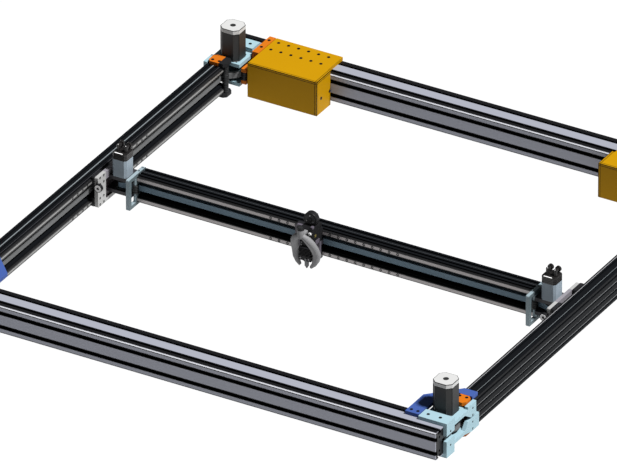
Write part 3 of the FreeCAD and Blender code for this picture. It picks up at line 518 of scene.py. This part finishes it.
def screwForm(radius, height, socket=0.5, deep=0.6):
    # socket head: a round head with a six-sided hole
    form = bmesh.new()
    rim = edgesOf(bmesh.ops.create_circle(form, radius=radius, segments=12)["verts"])
    hole = edgesOf(bmesh.ops.create_circle(form, radius=radius * socket, segments=6)["verts"])
    bmesh.ops.bridge_loops(form, edges=rim + hole)
    for loop, drop in ((rim, height), (hole, height * deep)):
        low = only(bmesh.types.BMVert, bmesh.ops.extrude_edge_only(form, edges=loop)["geom"])
        bmesh.ops.translate(form, vec=(0, 0, -drop), verts=low)
        bmesh.ops.edgeloop_fill(form, edges=[
            edge for edge in edgesOf(low) if all(vert in low for vert in edge.verts)
        ])
    bmesh.ops.translate(form, vec=(0, 0, height), verts=form.verts)
    bmesh.ops.recalc_face_normals(form, faces=form.faces)
    return form


def toothedForm(radius, teeth, deep, height):
    # one tooth drawn, repeated round the axis, closed and drawn up
    form = bmesh.new()
    pitch = math.tau / teeth
    root = radius - deep
    outline = [
        form.verts.new((reach * math.cos(share * pitch), reach * math.sin(share * pitch), 0))
        for reach, share in ((root, 0), (root, 0.3), (radius, 0.42), (radius, 0.88), (root, 1))
    ]
    lines = [form.edges.new(pair) for pair in zip(outline, outline[1:])]
    bmesh.ops.spin(form, geom=outline + lines, cent=(0, 0, 0), axis=(0, 0, 1), angle=math.tau,
                   steps=teeth, use_merge=False, use_duplicate=True)
    bmesh.ops.remove_doubles(form, verts=form.verts, dist=0.01)
    loop = form.edges[:]
    made = bmesh.ops.extrude_edge_only(form, edges=loop)["geom"]
    bmesh.ops.translate(form, vec=(0, 0, height), verts=only(bmesh.types.BMVert, made))
    bmesh.ops.edgeloop_fill(form, edges=loop)
    bmesh.ops.edgeloop_fill(form, edges=only(bmesh.types.BMEdge, made))
    bmesh.ops.recalc_face_normals(form, faces=form.faces)
    return form


def octagonForm(width, cut, height, recess=0.0):
    # square bar with cut corners, each with a shallow long recess
    form = blockForm((width, width, height))
    soften(form, along(form, "z"), cut)
    if recess:
        cuts = [face for face in form.faces if abs(face.normal.x) > 0.5 and abs(face.normal.y) > 0.5]
        bmesh.ops.inset_individual(form, faces=cuts, thickness=2.2, depth=-recess)
    return form


def crownForm(width, cut, height, rounding):
    # the same bar with its upper edges rounded
    form = octagonForm(width, cut, height)
    soften(form, [edge for edge in form.edges if min(vert.co.z for vert in edge.verts) > 1], rounding, 2)
    return form


def circleSpots(count, first, reach):
    # places evenly round a circle, the first at an angle in degrees
    angles = [math.radians(first + 360 / count * i) for i in range(count)]
    return [(math.cos(angle) * reach, math.sin(angle) * reach) for angle in angles]


turns = {
    "+Z": Matrix(), "-Z": Matrix.Rotation(math.pi, 4, "X"),
    "+X": Matrix.Rotation(math.pi / 2, 4, "Y"), "-X": Matrix.Rotation(-math.pi / 2, 4, "Y"),
    "+Y": Matrix.Rotation(-math.pi / 2, 4, "X"), "-Y": Matrix.Rotation(math.pi / 2, 4, "X"),
}


class Piece:  # a mesh put together from forms, in millimetres until it is finished
    def __init__(self):
        self.mesh = bmesh.new()
        self.used = []

    def add(self, form, at, finish, axis="+Z", spin=0.0):
        if finish not in self.used:
            self.used.append(finish)
        for face in form.faces:
            face.material_index = self.used.index(finish)
        turn = Matrix.Rotation(math.radians(spin), 4, "Z")
        bmesh.ops.transform(form, matrix=Matrix.Translation(at) @ turns[axis] @ turn, verts=form.verts)
        spare = meshOf("spare", form)
        self.mesh.from_mesh(spare)
        bpy.data.meshes.remove(spare)

    def close(self, name, body, slot, *replaced, angle=14):
        # faces that meet at more than the angle keep a sharp edge, so flat faces stay flat
        bmesh.ops.scale(self.mesh, vec=(mm, mm, mm), verts=self.mesh.verts)
        mesh = meshOf(name, self.mesh)
        mesh.shade_smooth()
        mesh.set_sharp_from_angle(angle=math.radians(angle))
        for finish in self.used:
            mesh.materials.append(finishes[finish].material)
        piece = placed(name, mesh)
        if replaced:
            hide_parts(*replaced)
        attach(piece, body)


def corner(node):
    # lowest and highest corner and middle of a node, in millimetres
    low, high = (Vector(end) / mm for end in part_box(node))
    return low, high, (low + high) / 2


# Screws in the holes of the plates, given front left and mirrored to the other corners
sunkScrew = {"head": (3.05, 5), "proud": -0.1}
headScrew = {"head": (4.3, 5), "proud": 0.8}
railScrew = {"head": (3.9, 1.0, 0.45, 0.5), "proud": 0.25}
holes = {  # in from the outer end, back from the front face and down from the top of the beams
    "plate": 10, "bracket": (20, 55), "line": 60, "wallDrops": (20, 60),
    "flangeLine": 173, "flangeDrops": (10, 30, 50, 70), "guide": (12, 32), "guideLine": 180,
    "cornerPlate": (85, 104), "rows": (20, 60), "tension": 88.5,
    "liftFirst": 117, "liftPitch": 30, "liftCount": 6,
    "liftSide": 307, "liftSideRows": (-49, -5), "liftSideDrop": 47,
    "railCount": 16, "railPitch": 25, "railIn": 48,
}


def screwSet(name, body, slot, spots, screw):
    # spots are (x, y, z, axis): a place on the surface and the way that the head looks
    piece = Piece()
    for x, y, z, axis in spots:
        way = turns[axis].to_3x3() @ Vector((0, 0, 1))
        at = Vector((x, y, z)) + way * (screw["proud"] - screw["head"][1])
        piece.add(screwForm(*screw["head"]), at, "screw", axis)
    piece.close(name, body, slot)


def mirrored(spots, ends):
    # the same spots on both sides, and at the other end too where ends says so
    flip = {"+X": "-X", "-X": "+X"}
    return [
        (x * side, y * end, z, flip.get(axis, axis) if side < 0 else axis)
        for x, y, z, axis in spots for side in (1, -1) for end in ends
    ]


def fromEnd(reaches, y, z, axis):
    return [(outer + reach, y, z, axis) for reach in reaches]


outer, front, top = corner("front_beam")[0].x, corner("front_beam")[0].y, corner("front_beam")[1].z
backFront = corner("back_beam")[0].y
deck, wall = top + holes["plate"], outer - holes["plate"]
line, guideLine = front + holes["line"], front + holes["guideLine"]
wallSpots = [(wall, line, top - drop, "-X") for drop in holes["wallDrops"]]
wallSpots += [(wall, front + holes["flangeLine"], top - drop, "-X") for drop in holes["flangeDrops"]]
liftSpots = [
    (outer + holes["liftFirst"] + holes["liftPitch"] * i, backFront + row, deck, "+Z")
    for i in range(holes["liftCount"]) for row in holes["rows"]
]
liftSpots += [
    (outer + holes["liftSide"], backFront + row, top - holes["liftSideDrop"], "+X")
    for row in holes["liftSideRows"]
]
liftSpots += [(outer + holes["tension"], backFront + row, deck, "+Z") for row in holes["rows"]]
for name, spots, ends, screw in (
    ("bracket_top_screws", fromEnd(holes["bracket"], line, deck, "+Z"), (1, -1), headScrew),
    ("bracket_screws", fromEnd(holes["bracket"], line, 0, "-Z") + wallSpots, (1, -1), sunkScrew),
    ("guide_top_screws", fromEnd(holes["guide"], guideLine, deck, "+Z"), (1, -1), headScrew),
    ("guide_screws", fromEnd(holes["guide"], guideLine, 0, "-Z"), (1, -1), sunkScrew),
    ("plate_screws", fromEnd(holes["cornerPlate"], line, deck, "+Z"), (1,), headScrew),
    ("lift_screws", liftSpots, (1,), headScrew),
):
    screwSet(name, "frame", "motor_black", mirrored(spots, ends), screw)

# A row of screws in the middle stretch of each rail
offsets = [(i - (holes["railCount"] - 1) / 2) * holes["railPitch"] for i in range(holes["railCount"])]
for side, name, axis in ((-1, "left", "+X"), (1, "right", "-X")):
    screwSet(name + "_rail_screws", "frame", "rail_steel", [
        (side * (-outer - holes["railIn"]), offset, level, axis)
        for offset in offsets for level in railLevels
    ], railScrew)
screwSet("cross_rail_screws", "gantry", "rail_steel", [
    (offset, corner("cross_rails")[0].y, level, "-Y") for offset in offsets for level in railLevels
], railScrew)
print("screws made")

# Rollers with ribs round them
rollers = {"rib": 2.6, "gap": 2.6, "deep": 1.6, "bore": 2.55, "edge": 0.5, "slope": 0.4}


def ribbedForm(radius, height):
    bore, edge, slope = rollers["bore"], rollers["edge"], rollers["slope"]
    rib, gap = rollers["rib"], rollers["gap"]
    pitch, root = rib + gap, radius - rollers["deep"]
    count = int((height - rib) / pitch)
    start = (height - count * pitch + gap) / 2
    steps = [(bore, 0), (radius - edge, 0), (radius, edge)]
    for i in range(count):
        low = start + i * pitch + rib - gap / 2
        steps += [(radius, low), (root, low + slope), (root, low + gap - slope), (radius, low + gap)]
    return latheForm(steps + [(radius, height - edge), (radius - edge, height), (bore, height)])


def ribbedRoller(name):
    low, high, middle = corner(name)
    piece = Piece()
    piece.add(ribbedForm((high.x - low.x) / 2, high.z - low.z), (middle.x, middle.y, low.z), "wheel")
    piece.close("ribbed_" + name, name, "wheel_black", name)


for name in named("_roller"):
    ribbedRoller(name)

# Black ribbed sleeves on the axles above and below the outer guide rollers
sleeves = {"radius": 8, "clear": 0.5}


def guideSleeves():
    foot, roof = corner("guide_axles")[0].z, corner("guide_axles")[1].z
    piece = Piece()
    for name in named("_outer_roller"):
        low, high, middle = corner(name)
        for start, end in ((foot, low.z - sleeves["clear"]), (high.z + sleeves["clear"], roof)):
            form = ribbedForm(sleeves["radius"], end - start)
            piece.add(form, (middle.x, middle.y, start), "wheel")
    piece.close("guide_sleeves", "frame", "axle_steel")


guideSleeves()

# Toothed pulleys between two rims, on their shafts
pulleys = {
    "height": 22, "deep": 1.8, "rim": 1.6, "rounding": 0.4, "lap": 1,
    "large": (34.2, 43, 4), "small": (10.2, 13, 2.5),  # radius under the belt, teeth, shaft
    "bolts": (4, 45, 22), "bolt": (3.2, 2.4), "boltSunk": 0.6,  # bolts: how many, first angle, reach
}


def toothedPulley(name):
    low, high, middle = corner(name)
    small = "servo" in name
    seat, teeth, shaft = pulleys["small" if small else "large"]
    height, rim, lap, rounding = pulleys["height"], pulleys["rim"], pulleys["lap"], pulleys["rounding"]
    foot = corner("left_belt")[2].z - height / 2
    piece = Piece()
    piece.add(toothedForm(seat, teeth, pulleys["deep"], height - lap * 2),
              (middle.x, middle.y, foot + lap), "pulley")
    for level in (foot, foot + height - rim):
        piece.add(rodForm((high.x - low.x) / 2, rim, 48, rounding), (middle.x, middle.y, level), "pulley")
    piece.add(rodForm(shaft, high.z - low.z, 24, rounding), (middle.x, middle.y, low.z), "axle")
    if not small:
        for x, y in circleSpots(*pulleys["bolts"]):
            at = (middle.x + x, middle.y + y, foot + height - pulleys["boltSunk"])
            piece.add(screwForm(*pulleys["bolt"]), at, "screw")
    piece.close("toothed_" + name, name, "wheel_black", name)


for name in named("_pulley"):
    toothedPulley(name)
print("rollers and pulleys made")

# Long-axis motors: black stator with recessed corners, pale cap with a dark eye
motors = {
    "width": 57, "cut": 12, "cap": 11.5, "recess": 1.4, "seam": 0.4,
    "neckIn": 2.4, "neckCut": 0.8, "capRounding": 1.0, "rim": 1.2, "rimOut": 0.1, "lid": 0.3, "lidIn": 2.8,
    "eye": (7.7, 0.2), "eyeDown": 0.19, "shaft": 3.2, "shaftRounding": 0.1,
    "bolts": (4, 45, 29.6), "bolt": (2.4, 1.4), "boltDown": 1.6,
}


def detailedMotor(name):
    low, high, middle = corner(name)
    width, cut, gap, lid = motors["width"], motors["cut"], motors["seam"], motors["lid"]
    narrow = cut - motors["neckCut"]
    seam = high.z - motors["cap"]
    capHeight = motors["cap"] - gap - motors["rim"]
    piece = Piece()
    for form, level, finish in (
        (octagonForm(width, cut, seam - low.z - gap, motors["recess"]), low.z, "stator"),
        (octagonForm(width - motors["neckIn"], narrow, gap * 2), seam - gap, "stator"),
        (crownForm(width, cut, capHeight, motors["capRounding"]), seam + gap, "cap"),
        (octagonForm(width + motors["rimOut"], cut, motors["rim"]), high.z - motors["rim"] - lid, "stator"),
        (octagonForm(width - motors["lidIn"], narrow, lid), high.z - lid, "cap"),
        (rodForm(*motors["eye"]), high.z - motors["eyeDown"], "stator"),
        (rodForm(motors["shaft"], lid, rounding=motors["shaftRounding"]), high.z - lid, "axle"),
    ):
        piece.add(form, (middle.x, middle.y, level), finish)
    for x, y in circleSpots(*motors["bolts"]):
        at = (middle.x + x, middle.y + y, high.z - motors["boltDown"])
        piece.add(screwForm(*motors["bolt"]), at, "stator")
    piece.close("detailed_" + name, "frame", "motor_black", name)


for name in named("back_left_motor", "front_right_motor"):
    detailedMotor(name)

# Cross-axis servos: grey case with rounded corners, black cap with fins, two angled plugs
servos = {
    "width": 42.3, "cut": 5.5, "body": 50, "cap": 19, "layers": 3, "finIn": 0.2, "finGap": 1.2,
    "grooveIn": 3, "groove": 1.4, "grooveDown": 1.3, "crown": 5, "crownRounding": 1.2,
    # the thin white strip on the cap's top front edge is a painted highlight
    "edge": (24, 3.2, 0.4), "paintedStripAt": (-2, 3, -0.15),
}
plugs = {
    "apart": 22, "ahead": 2, "height": 12, "radius": 5, "rounding": 1.2, "baseOut": 1.6, "base": 3,
    "tube": 4.4, "reach": 20, "nut": 8, "nutLength": 8, "ribs": 20, "ribDeep": 0.7,
    # the small white block on the arm is a painted highlight
    "lipIn": 1.6, "lip": 1, "paintedGlint": (1.6, 3, 0.5), "paintedGlintAt": (-1.5, 4.7),
}


def addPlug(piece, x, y, roof):
    # upright barrel on a six-sided base, with a ribbed nut at the end of its arm and a small white block on
    # the arm, a painted highlight
    level = roof + plugs["height"]
    radius, reach, nut, lip = (plugs[key] for key in ("radius", "reach", "nut", "lip"))
    paintedGlintAhead, paintedGlintUp = plugs["paintedGlintAt"]
    for form, ahead, height, finish, axis in (
        (rodForm(radius + plugs["baseOut"], plugs["base"], 6, 0.4), 0, roof, "servoCap", "+Z"),
        (rodForm(radius, plugs["height"] + radius, 32, plugs["rounding"]), 0, roof, "servoCap", "+Z"),
        (rodForm(plugs["tube"], reach), 0, level, "servoCap", "+Y"),
        (toothedForm(nut, plugs["ribs"], plugs["ribDeep"], plugs["nutLength"] - lip),
         reach - plugs["nutLength"], level, "servoCap", "+Y"),
        (rodForm(nut - plugs["lipIn"], lip, 32, 0.3), reach - lip, level, "servoCap", "+Y"),
        # a small white block on top of the arm: a painted highlight
        (blockForm(plugs["paintedGlint"], 0.2), paintedGlintAhead, level + paintedGlintUp, "whiteAndPaintedHighlight", "+Z"),
    ):
        piece.add(form, (x, y + ahead, height), finish, axis)


def detailedServo(name):
    low, high, middle = corner(name)
    width, cut = servos["width"], servos["cut"]
    x, y = middle.x, low.y + width / 2
    seam = low.z + servos["body"]
    roof = seam + servos["cap"]
    fin = (servos["cap"] - servos["crown"]) / servos["layers"]
    piece = Piece()
    piece.add(octagonForm(width, cut, servos["body"]), (x, y, low.z), "servo")
    for i in range(servos["layers"]):
        piece.add(octagonForm(width - servos["finIn"], cut, fin - servos["finGap"]),
                  (x, y, seam + i * fin), "servoCap")
        piece.add(octagonForm(width - servos["grooveIn"], cut, servos["groove"]),
                  (x, y, seam + (i + 1) * fin - servos["grooveDown"]), "servoCap")
    piece.add(crownForm(width, cut, servos["crown"], servos["crownRounding"]),
              (x, y, roof - servos["crown"]), "servoCap")
    # a thin white strip on the cap's top front edge: a painted highlight
    aside, back, up = servos["paintedStripAt"]
    piece.add(blockForm(servos["edge"], 0.15), (x + aside, low.y + back, roof + up), "whiteAndPaintedHighlight")
    for way in (-1, 1):
        addPlug(piece, x + plugs["apart"] / 2 * way, y - plugs["ahead"], roof)
    piece.close("detailed_" + name, "gantry", "servo_grey", name)


for name in named("left_servo", "right_servo"):
    detailedServo(name)
print("motors made")


# Forms with a recess or a window, cut along planes of y and z
def carve(form, across, up):
    for places, axis in ((across, (0, 1, 0)), (up, (0, 0, 1))):
        for place in places:
            bmesh.ops.bisect_plane(form, geom=form.verts[:] + form.edges[:] + form.faces[:], dist=0.0001,
                                   plane_co=Vector(axis) * place, plane_no=axis)


def inside(form, across, up, side=0):
    found = []
    for face in form.faces:
        spot = face.calc_center_median()
        if abs(face.normal.x) > 0.9 and face.normal.x * side >= 0:
            if across[0] < spot.y < across[1] and up[0] < spot.z < up[1]:
                found.append(face)
    return found


def plateForm(size, rounding):  # upright plate with rounded corners
    form = blockForm(size)
    soften(form, along(form, "x"), rounding, 3)
    return form


def pocketForm(size, rounding, across, up, deep):
    form = plateForm(size, rounding)
    carve(form, across, up)
    bmesh.ops.inset_region(form, faces=inside(form, across, up, 1), thickness=0.05, depth=-deep)
    return form


def windowForm(size, rounding, openings):
    form = plateForm(size, rounding)
    for across, up in openings:
        carve(form, across, up)
    gone = [face for across, up in openings for face in inside(form, across, up)]
    bmesh.ops.delete(form, geom=gone, context="FACES")
    bmesh.ops.bridge_loops(form, edges=[edge for edge in form.edges if edge.is_boundary])
    bmesh.ops.recalc_face_normals(form, faces=form.faces)
    return form


def holedForm(width, radius, height):
    # square plate with a round hole
    form = bmesh.new()
    turned = Matrix.Rotation(math.pi / 4, 4, "Z")
    rim = bmesh.ops.create_circle(form, radius=width / math.sqrt(2), segments=4, matrix=turned)["verts"]
    rim = edgesOf(rim)
    hole = edgesOf(bmesh.ops.create_circle(form, radius=radius, segments=32)["verts"])
    bmesh.ops.bridge_loops(form, edges=rim + hole)
    made = bmesh.ops.extrude_face_region(form, geom=form.faces[:], use_keep_orig=True)["geom"]
    bmesh.ops.translate(form, vec=(0, 0, height), verts=only(bmesh.types.BMVert, made))
    bmesh.ops.recalc_face_normals(form, faces=form.faces)
    return form


# Carriages: rounded plate with a pocket, black bumper with a white ring, rail blocks and their screws
carriages = {
    "face": 662, "back": 672, "rounding": 3, "pocketDeep": 5,
    "bumper": 11, "bumperLength": 10, "bumperOut": 5, "bumperLevel": 68.5, "eye": 3.7,
    "ring": 9.6, "ringHeight": 0.8, "ringSunk": 0.5, "stub": (56, 10), "stubAt": (-1, 27), "lap": 0.4,
    "screw": (3.3, 2.0), "screwApart": 9.3, "screwSunk": 1.4, "screwEdge": 4,
}
railBlocks = {"column": 40, "place": 677, "size": (10, 39, 27), "seal": (9, 3, 25), "rounding": 0.8}


def addBlock(piece, x, y, level):
    # a sliding block with a seal at each end
    long, high = railBlocks["size"][1:]
    sealLong, sealHigh = railBlocks["seal"][1:]
    foot = level - high / 2
    piece.add(blockForm(railBlocks["size"], railBlocks["rounding"]), (x, y, foot), "block")
    for ahead in (-1, 1):
        at = (x, y + (long + sealLong) / 2 * ahead, foot + (high - sealHigh) / 2)
        piece.add(blockForm(railBlocks["seal"], railBlocks["rounding"]), at, "headBlack")


def carriage(side, name, blocks):
    low, high, middle = corner(name + "_carriage_plate")
    face, back = carriages["face"] * side, carriages["back"] * side
    deep, lap = carriages["pocketDeep"], carriages["lap"]
    axis = "+X" if side < 0 else "-X"
    columns = (low.y + railBlocks["column"] / 2, high.y - railBlocks["column"] / 2)
    reach = (high.y - low.y) / 2 - railBlocks["column"]
    size = (abs(back - face), high.y - low.y, high.z - low.z)
    pocketUp = [level - low.z for level in carriageLook["pocketHeight"]]
    piece = Piece()
    piece.add(pocketForm(size, carriages["rounding"], (-reach, reach), pocketUp, deep),
              ((back + face) / 2, middle.y, low.z), name + "_carriage", spin=0 if side < 0 else 180)
    bumperX, bumperZ = face - carriages["bumperOut"] * side, carriages["bumperLevel"]
    piece.add(ringForm(carriages["bumper"], carriages["eye"], carriages["bumperLength"]),
              (bumperX, low.y, bumperZ), "headBlack", "-Y")
    ringY = low.y - carriages["bumperLength"] + carriages["ringSunk"]
    piece.add(ringForm(carriages["ring"], carriages["eye"], carriages["ringHeight"]),
              (bumperX, ringY, bumperZ), "whiteAndPaintedHighlight", "-Y")
    piece.add(blockForm((deep + lap, *carriages["stub"])),
              (face + (deep - lap) / 2 * side, *carriages["stubAt"]), "bridge")
    apart = carriages["screwApart"]
    for column in columns:
        for level in railLevels:
            for ahead in (-apart, apart):
                for rise in (-apart, apart):
                    z = min(level + rise, high.z - carriages["screwEdge"])
                    at = (face + carriages["screwSunk"] * side, column + ahead, z)
                    piece.add(screwForm(*carriages["screw"]), at, "screw", axis)
            addBlock(blocks, railBlocks["place"] * side, column, level)
    piece.close(name + "_carriage", "gantry", "plate_grey", name + "_carriage_plate")


blocks = Piece()
for side, name in ((-1, "left"), (1, "right")):
    carriage(side, name, blocks)
blocks.close("rail_blocks", "gantry", "block_steel", "carriage_blocks")

# End plates: rounded plate with a window for the roller and a slot for the belt, bosses on its axle
ends = {
    "rounding": 4, "window": (-47, -12, 14, 84), "slot": (-12, 7, 34, 66),  # from and to in y, then in z
    "boss": 5.5, "bossRounding": 0.4, "axle": 2.5, "gap": 0.4,
    "screwRows": (0, 19), "screw": (2.9, 1.0, 0.5, 0.5), "screwSunk": 0.7,
}


def endPlate(name):
    low, high, middle = corner(name + "_end_plate")
    rollerLow, rollerHigh, roller = corner(name + "_cross_roller")
    openings = [
        ((nearY - middle.y, farY - middle.y), (lowZ - low.z, highZ - low.z))
        for nearY, farY, lowZ, highZ in (ends["window"], ends["slot"])
    ]
    piece = Piece()
    piece.add(windowForm((high.x - low.x, high.y - low.y, high.z - low.z), ends["rounding"], openings),
              (middle.x, middle.y, low.z), "endPlate")
    sill, lintel = ends["window"][2:]
    under, over = rollerLow.z - ends["gap"], rollerHigh.z + ends["gap"]
    piece.add(rodForm(ends["axle"], lintel - sill, 24), (roller.x, roller.y, sill), "axle")
    for start, end in ((sill, under), (over, lintel)):
        piece.add(rodForm(ends["boss"], end - start, 24, ends["bossRounding"]),
                  (roller.x, roller.y, start), "endPlate")
    for row in ends["screwRows"]:
        piece.add(screwForm(*ends["screw"]), (middle.x, row, high.z - ends["screwSunk"]), "screw")
    piece.close(name + "_end", "gantry", "plate_grey", name + "_end_plate")


for name in ("left", "right"):
    endPlate(name)
print("carriages made")

# Tool head, built up from the tip of the nozzle
tool = {
    "x": -47, "y": -77.5, "tip": 2, "barrelTop": 24, "heater": 28, "sink": 42, "case": 66, "caseTop": 119.5,
    "caseFront": -82, "caseBack": -33,
}
nozzle = {"point": 1.4, "cone": 7, "coneIn": 0.8, "barrel": 6, "barrelRounding": 0.4, "collar": 9,
          "collarRounding": 0.5}


def hotEnd():
    x, y, barrel = tool["x"], tool["y"], tool["tip"] + nozzle["cone"]
    piece = Piece()
    piece.add(rodForm(nozzle["point"], nozzle["cone"], tip=nozzle["barrel"] - nozzle["coneIn"]),
              (x, y, tool["tip"]), "headBlack")
    piece.add(rodForm(nozzle["barrel"], tool["barrelTop"] - barrel, 32, nozzle["barrelRounding"]),
              (x, y, barrel), "nozzle")
    piece.add(rodForm(nozzle["collar"], tool["heater"] - tool["barrelTop"], 32, nozzle["collarRounding"]),
              (x, y, tool["barrelTop"]), "nozzle")
    piece.close("hot_end", "tool_head", "nozzle_metal", "nozzle")


block = {
    "size": (36, 22, 14), "rounding": 0.8, "screw": (2.0, 1.4), "screws": ((-12, 7), (12, 7)),
    "sensor": (3, 3, 24, 0.4), "sensorAt": (4, 6),
}


def heater():
    x, y, foot = tool["x"], tool["y"], tool["heater"]
    face = y - block["size"][1] / 2
    piece = Piece()
    piece.add(blockForm(block["size"], block["rounding"]), (x, y, foot), "headBlack")
    for aside, up in block["screws"]:
        piece.add(screwForm(*block["screw"]), (x + aside, face, foot + up), "screwPale", "-Y")
    aside, up = block["sensorAt"]
    piece.add(rodForm(*block["sensor"]), (x + aside, face, foot + up), "nozzle", "-Y")
    piece.close("heater", "tool_head", "head_black", "heater_block")


squareSink = {"core": (14, 14), "coreRounding": 0.6, "size": (34, 24), "fins": 6, "fin": 2, "rounding": 0.5}


def sink():
    x, y, foot = tool["x"], tool["y"], tool["sink"]
    height = tool["case"] - foot
    piece = Piece()
    piece.add(blockForm((*squareSink["core"], height), squareSink["coreRounding"]), (x, y, foot),
              "headBlack")
    for i in range(squareSink["fins"]):
        level = foot + height / squareSink["fins"] * (i + 1) - squareSink["fin"]
        piece.add(blockForm((*squareSink["size"], squareSink["fin"]), squareSink["rounding"]),
                  (x, y, level), "headBlack")
    piece.close("square_sink", "tool_head", "head_black", "heat_sink")


case = {
    "width": 36, "rounding": 0.6, "lap": 0.4, "gearRoom": 7, "gearRoomDeep": 24,
    "plate": (28, 4, 30), "knob": (4.2, 6, 1.5, 3), "knobAt": (12.5, 108),
    "latch": (7, 9, 6), "latchAt": (14, -74), "sideRounding": 0.3,
    "sideBlocks": (((1.6, 8, 7), (-66, 92), "olive"), ((1.6, 20, 12), (-56, 68), "mauve")),
    "screw": (2.0, 1.6), "screws": ((-14, 70), (14, 70), (-14, 77), (14, 77)),
}


def drive():
    x, front, back = tool["x"], tool["caseFront"], tool["caseBack"]
    room, rounding, lap = case["width"], case["rounding"], case["lap"]
    gear = corner("extruder_gear")[2].z
    foot, deep, middle = gear - room / 2, back - front, (front + back) / 2
    roomBack = front + case["gearRoomDeep"]
    piece = Piece()
    form = holedForm(room, case["gearRoom"], case["gearRoomDeep"])
    piece.add(form, (x, roomBack, gear), "headBlack", "-Y")
    for form, y, level in (
        (blockForm((room, back - roomBack, room), rounding), (back + roomBack) / 2, foot),
        (blockForm((room, deep, foot - tool["case"] + lap), rounding), middle, tool["case"]),
        (blockForm((room, deep, tool["caseTop"] - foot - room + lap)), middle, foot + room - lap),
        (blockForm(case["plate"], rounding), corner("extruder_motor")[1].y + case["plate"][1] / 2,
         tool["caseTop"]),
    ):
        piece.add(form, (x, y, level), "headBlack")
    aside, level = case["knobAt"]
    piece.add(toothedForm(*case["knob"]), (x + aside, front, level), "whiteAndPaintedHighlight", "-Y")
    aside, latchY = case["latchAt"]
    piece.add(blockForm(case["latch"], rounding), (x + aside, latchY, tool["caseTop"]), "mauve")
    for size, spot, finish in case["sideBlocks"]:
        piece.add(blockForm(size, case["sideRounding"]), (x + room / 2 + lap, *spot), finish)
    for aside, level in case["screws"]:
        piece.add(screwForm(*case["screw"]), (x + aside, front + lap, level), "screwPale", "-Y")
    piece.close("drive_case", "tool_head", "head_black", "extruder_body")


motor = {
    "out": 1.5, "rounding": 1.2, "ring": (14.5, 7, 0.9, 48), "ringSunk": 0.3, "hub": (4.5, 1.2, 24, 0.4),
    "screws": (3, 90, 11), "screw": (1.7, 1.2), "sunk": 0.2,
}


def driveMotor():
    low, high, middle = corner("extruder_motor")
    radius, face = (high.x - low.x) / 2 + motor["out"], low.y + motor["sunk"]
    x, z = middle.x, middle.z
    piece = Piece()
    piece.add(rodForm(radius, high.y - low.y, 48, motor["rounding"]), (x, high.y, z), "headBlack", "-Y")
    piece.add(ringForm(*motor["ring"]), (x, low.y + motor["ringSunk"], z), "wheel", "-Y")
    piece.add(rodForm(*motor["hub"]), (x, face, z), "screw", "-Y")
    for aside, up in circleSpots(*motor["screws"]):
        piece.add(screwForm(*motor["screw"]), (x + aside, face, z + up), "screwPale", "-Y")
    piece.close("round_motor", "tool_head", "head_black", "extruder_motor")


# Cooling duct: a socket for the hose over two arms that curve round the heater to the nozzle
duct = {
    "y": -109.5, "socket": 9.5, "socketLow": 107, "socketTop": 137, "socketRounding": 0.6,
    "collar": (10, 6.8, 7.2, 40), "collarLow": 131, "throat": (6.8, 0.9), "throatLow": 136.9,
    "lug": (12, 8), "lugLow": 109, "lugRounding": 0.8,
    "middle": 49, "spread": 31, "rise": 64, "fall": 44, "ahead": 31, "tipAhead": 6, "armBack": 1,
    # (angle on its ellipse, radius) down to the widest place, and below it
    "upper": ((80, 7), (60, 9.6), (40, 11), (20, 11), (0, 11)),
    "lower": ((-20, 9.6), (-40, 6.8), (-60, 4)),
}


def armForm(way):
    # rings along a quarter of an ellipse down to the widest place and another below it
    form = bmesh.new()
    rings = []
    for angle, radius in duct["upper"] + duct["lower"]:
        turn = math.radians(angle)
        height, ahead = (duct["rise"], duct["ahead"]) if angle > 0 else (duct["fall"], duct["tipAhead"])
        slope = math.atan2(-duct["spread"] * math.sin(turn), height * math.cos(turn)) * way
        at = (duct["spread"] * math.cos(turn) * way, -duct["armBack"] - ahead * abs(math.sin(turn)),
              duct["middle"] + height * math.sin(turn))
        made = bmesh.ops.create_circle(form, radius=radius, segments=24,
                                       matrix=Matrix.Translation(at) @ Matrix.Rotation(slope, 4, "Y"))
        rings.append(edgesOf(made["verts"]))
    for upperRing, lowerRing in zip(rings, rings[1:]):
        bmesh.ops.bridge_loops(form, edges=upperRing + lowerRing)
    for loop in (rings[0], rings[-1]):
        bmesh.ops.edgeloop_fill(form, edges=loop)
    bmesh.ops.recalc_face_normals(form, faces=form.faces)
    return form


def curvedDuct():
    x, y, front = tool["x"], duct["y"], tool["caseFront"]
    piece = Piece()
    for way in (-1, 1):
        piece.add(armForm(way), (x, tool["y"], 0), "duct")
    piece.add(rodForm(duct["socket"], duct["socketTop"] - duct["socketLow"], 40, duct["socketRounding"]),
              (x, y, duct["socketLow"]), "duct")
    width, height = duct["lug"]
    lug = blockForm((width, front - y, height), duct["lugRounding"])
    piece.add(lug, (x, (front + y) / 2, duct["lugLow"]), "duct")
    piece.add(ringForm(*duct["collar"]), (x, y, duct["collarLow"]), "headBlack")
    piece.add(rodForm(*duct["throat"]), (x, y, duct["throatLow"]), "wheel")
    piece.close("curved_duct", "tool_head", "duct_grey", "cooling_duct", angle=40)


for makePiece in (hotEnd, heater, sink, drive, driveMotor, curvedDuct):
    makePiece()
print("head made")

floor = bmesh.new()
bmesh.ops.create_grid(floor, x_segments=1, y_segments=1, size=studio["floorSize"] / 2)
floorPiece = placed("floor", meshOf("floor", floor))
floorFinish = Finish("floorWhite", 0.9, shine=0.0)
floorFinish.set("Base Color", (0.02, 0.02, 0.02))
floorFinish.set("Emission Color", (1, 1, 1))
floorFinish.set("Emission Strength", studio["floor"])
floorPiece.data.materials.append(floorFinish.material)

print("finished")
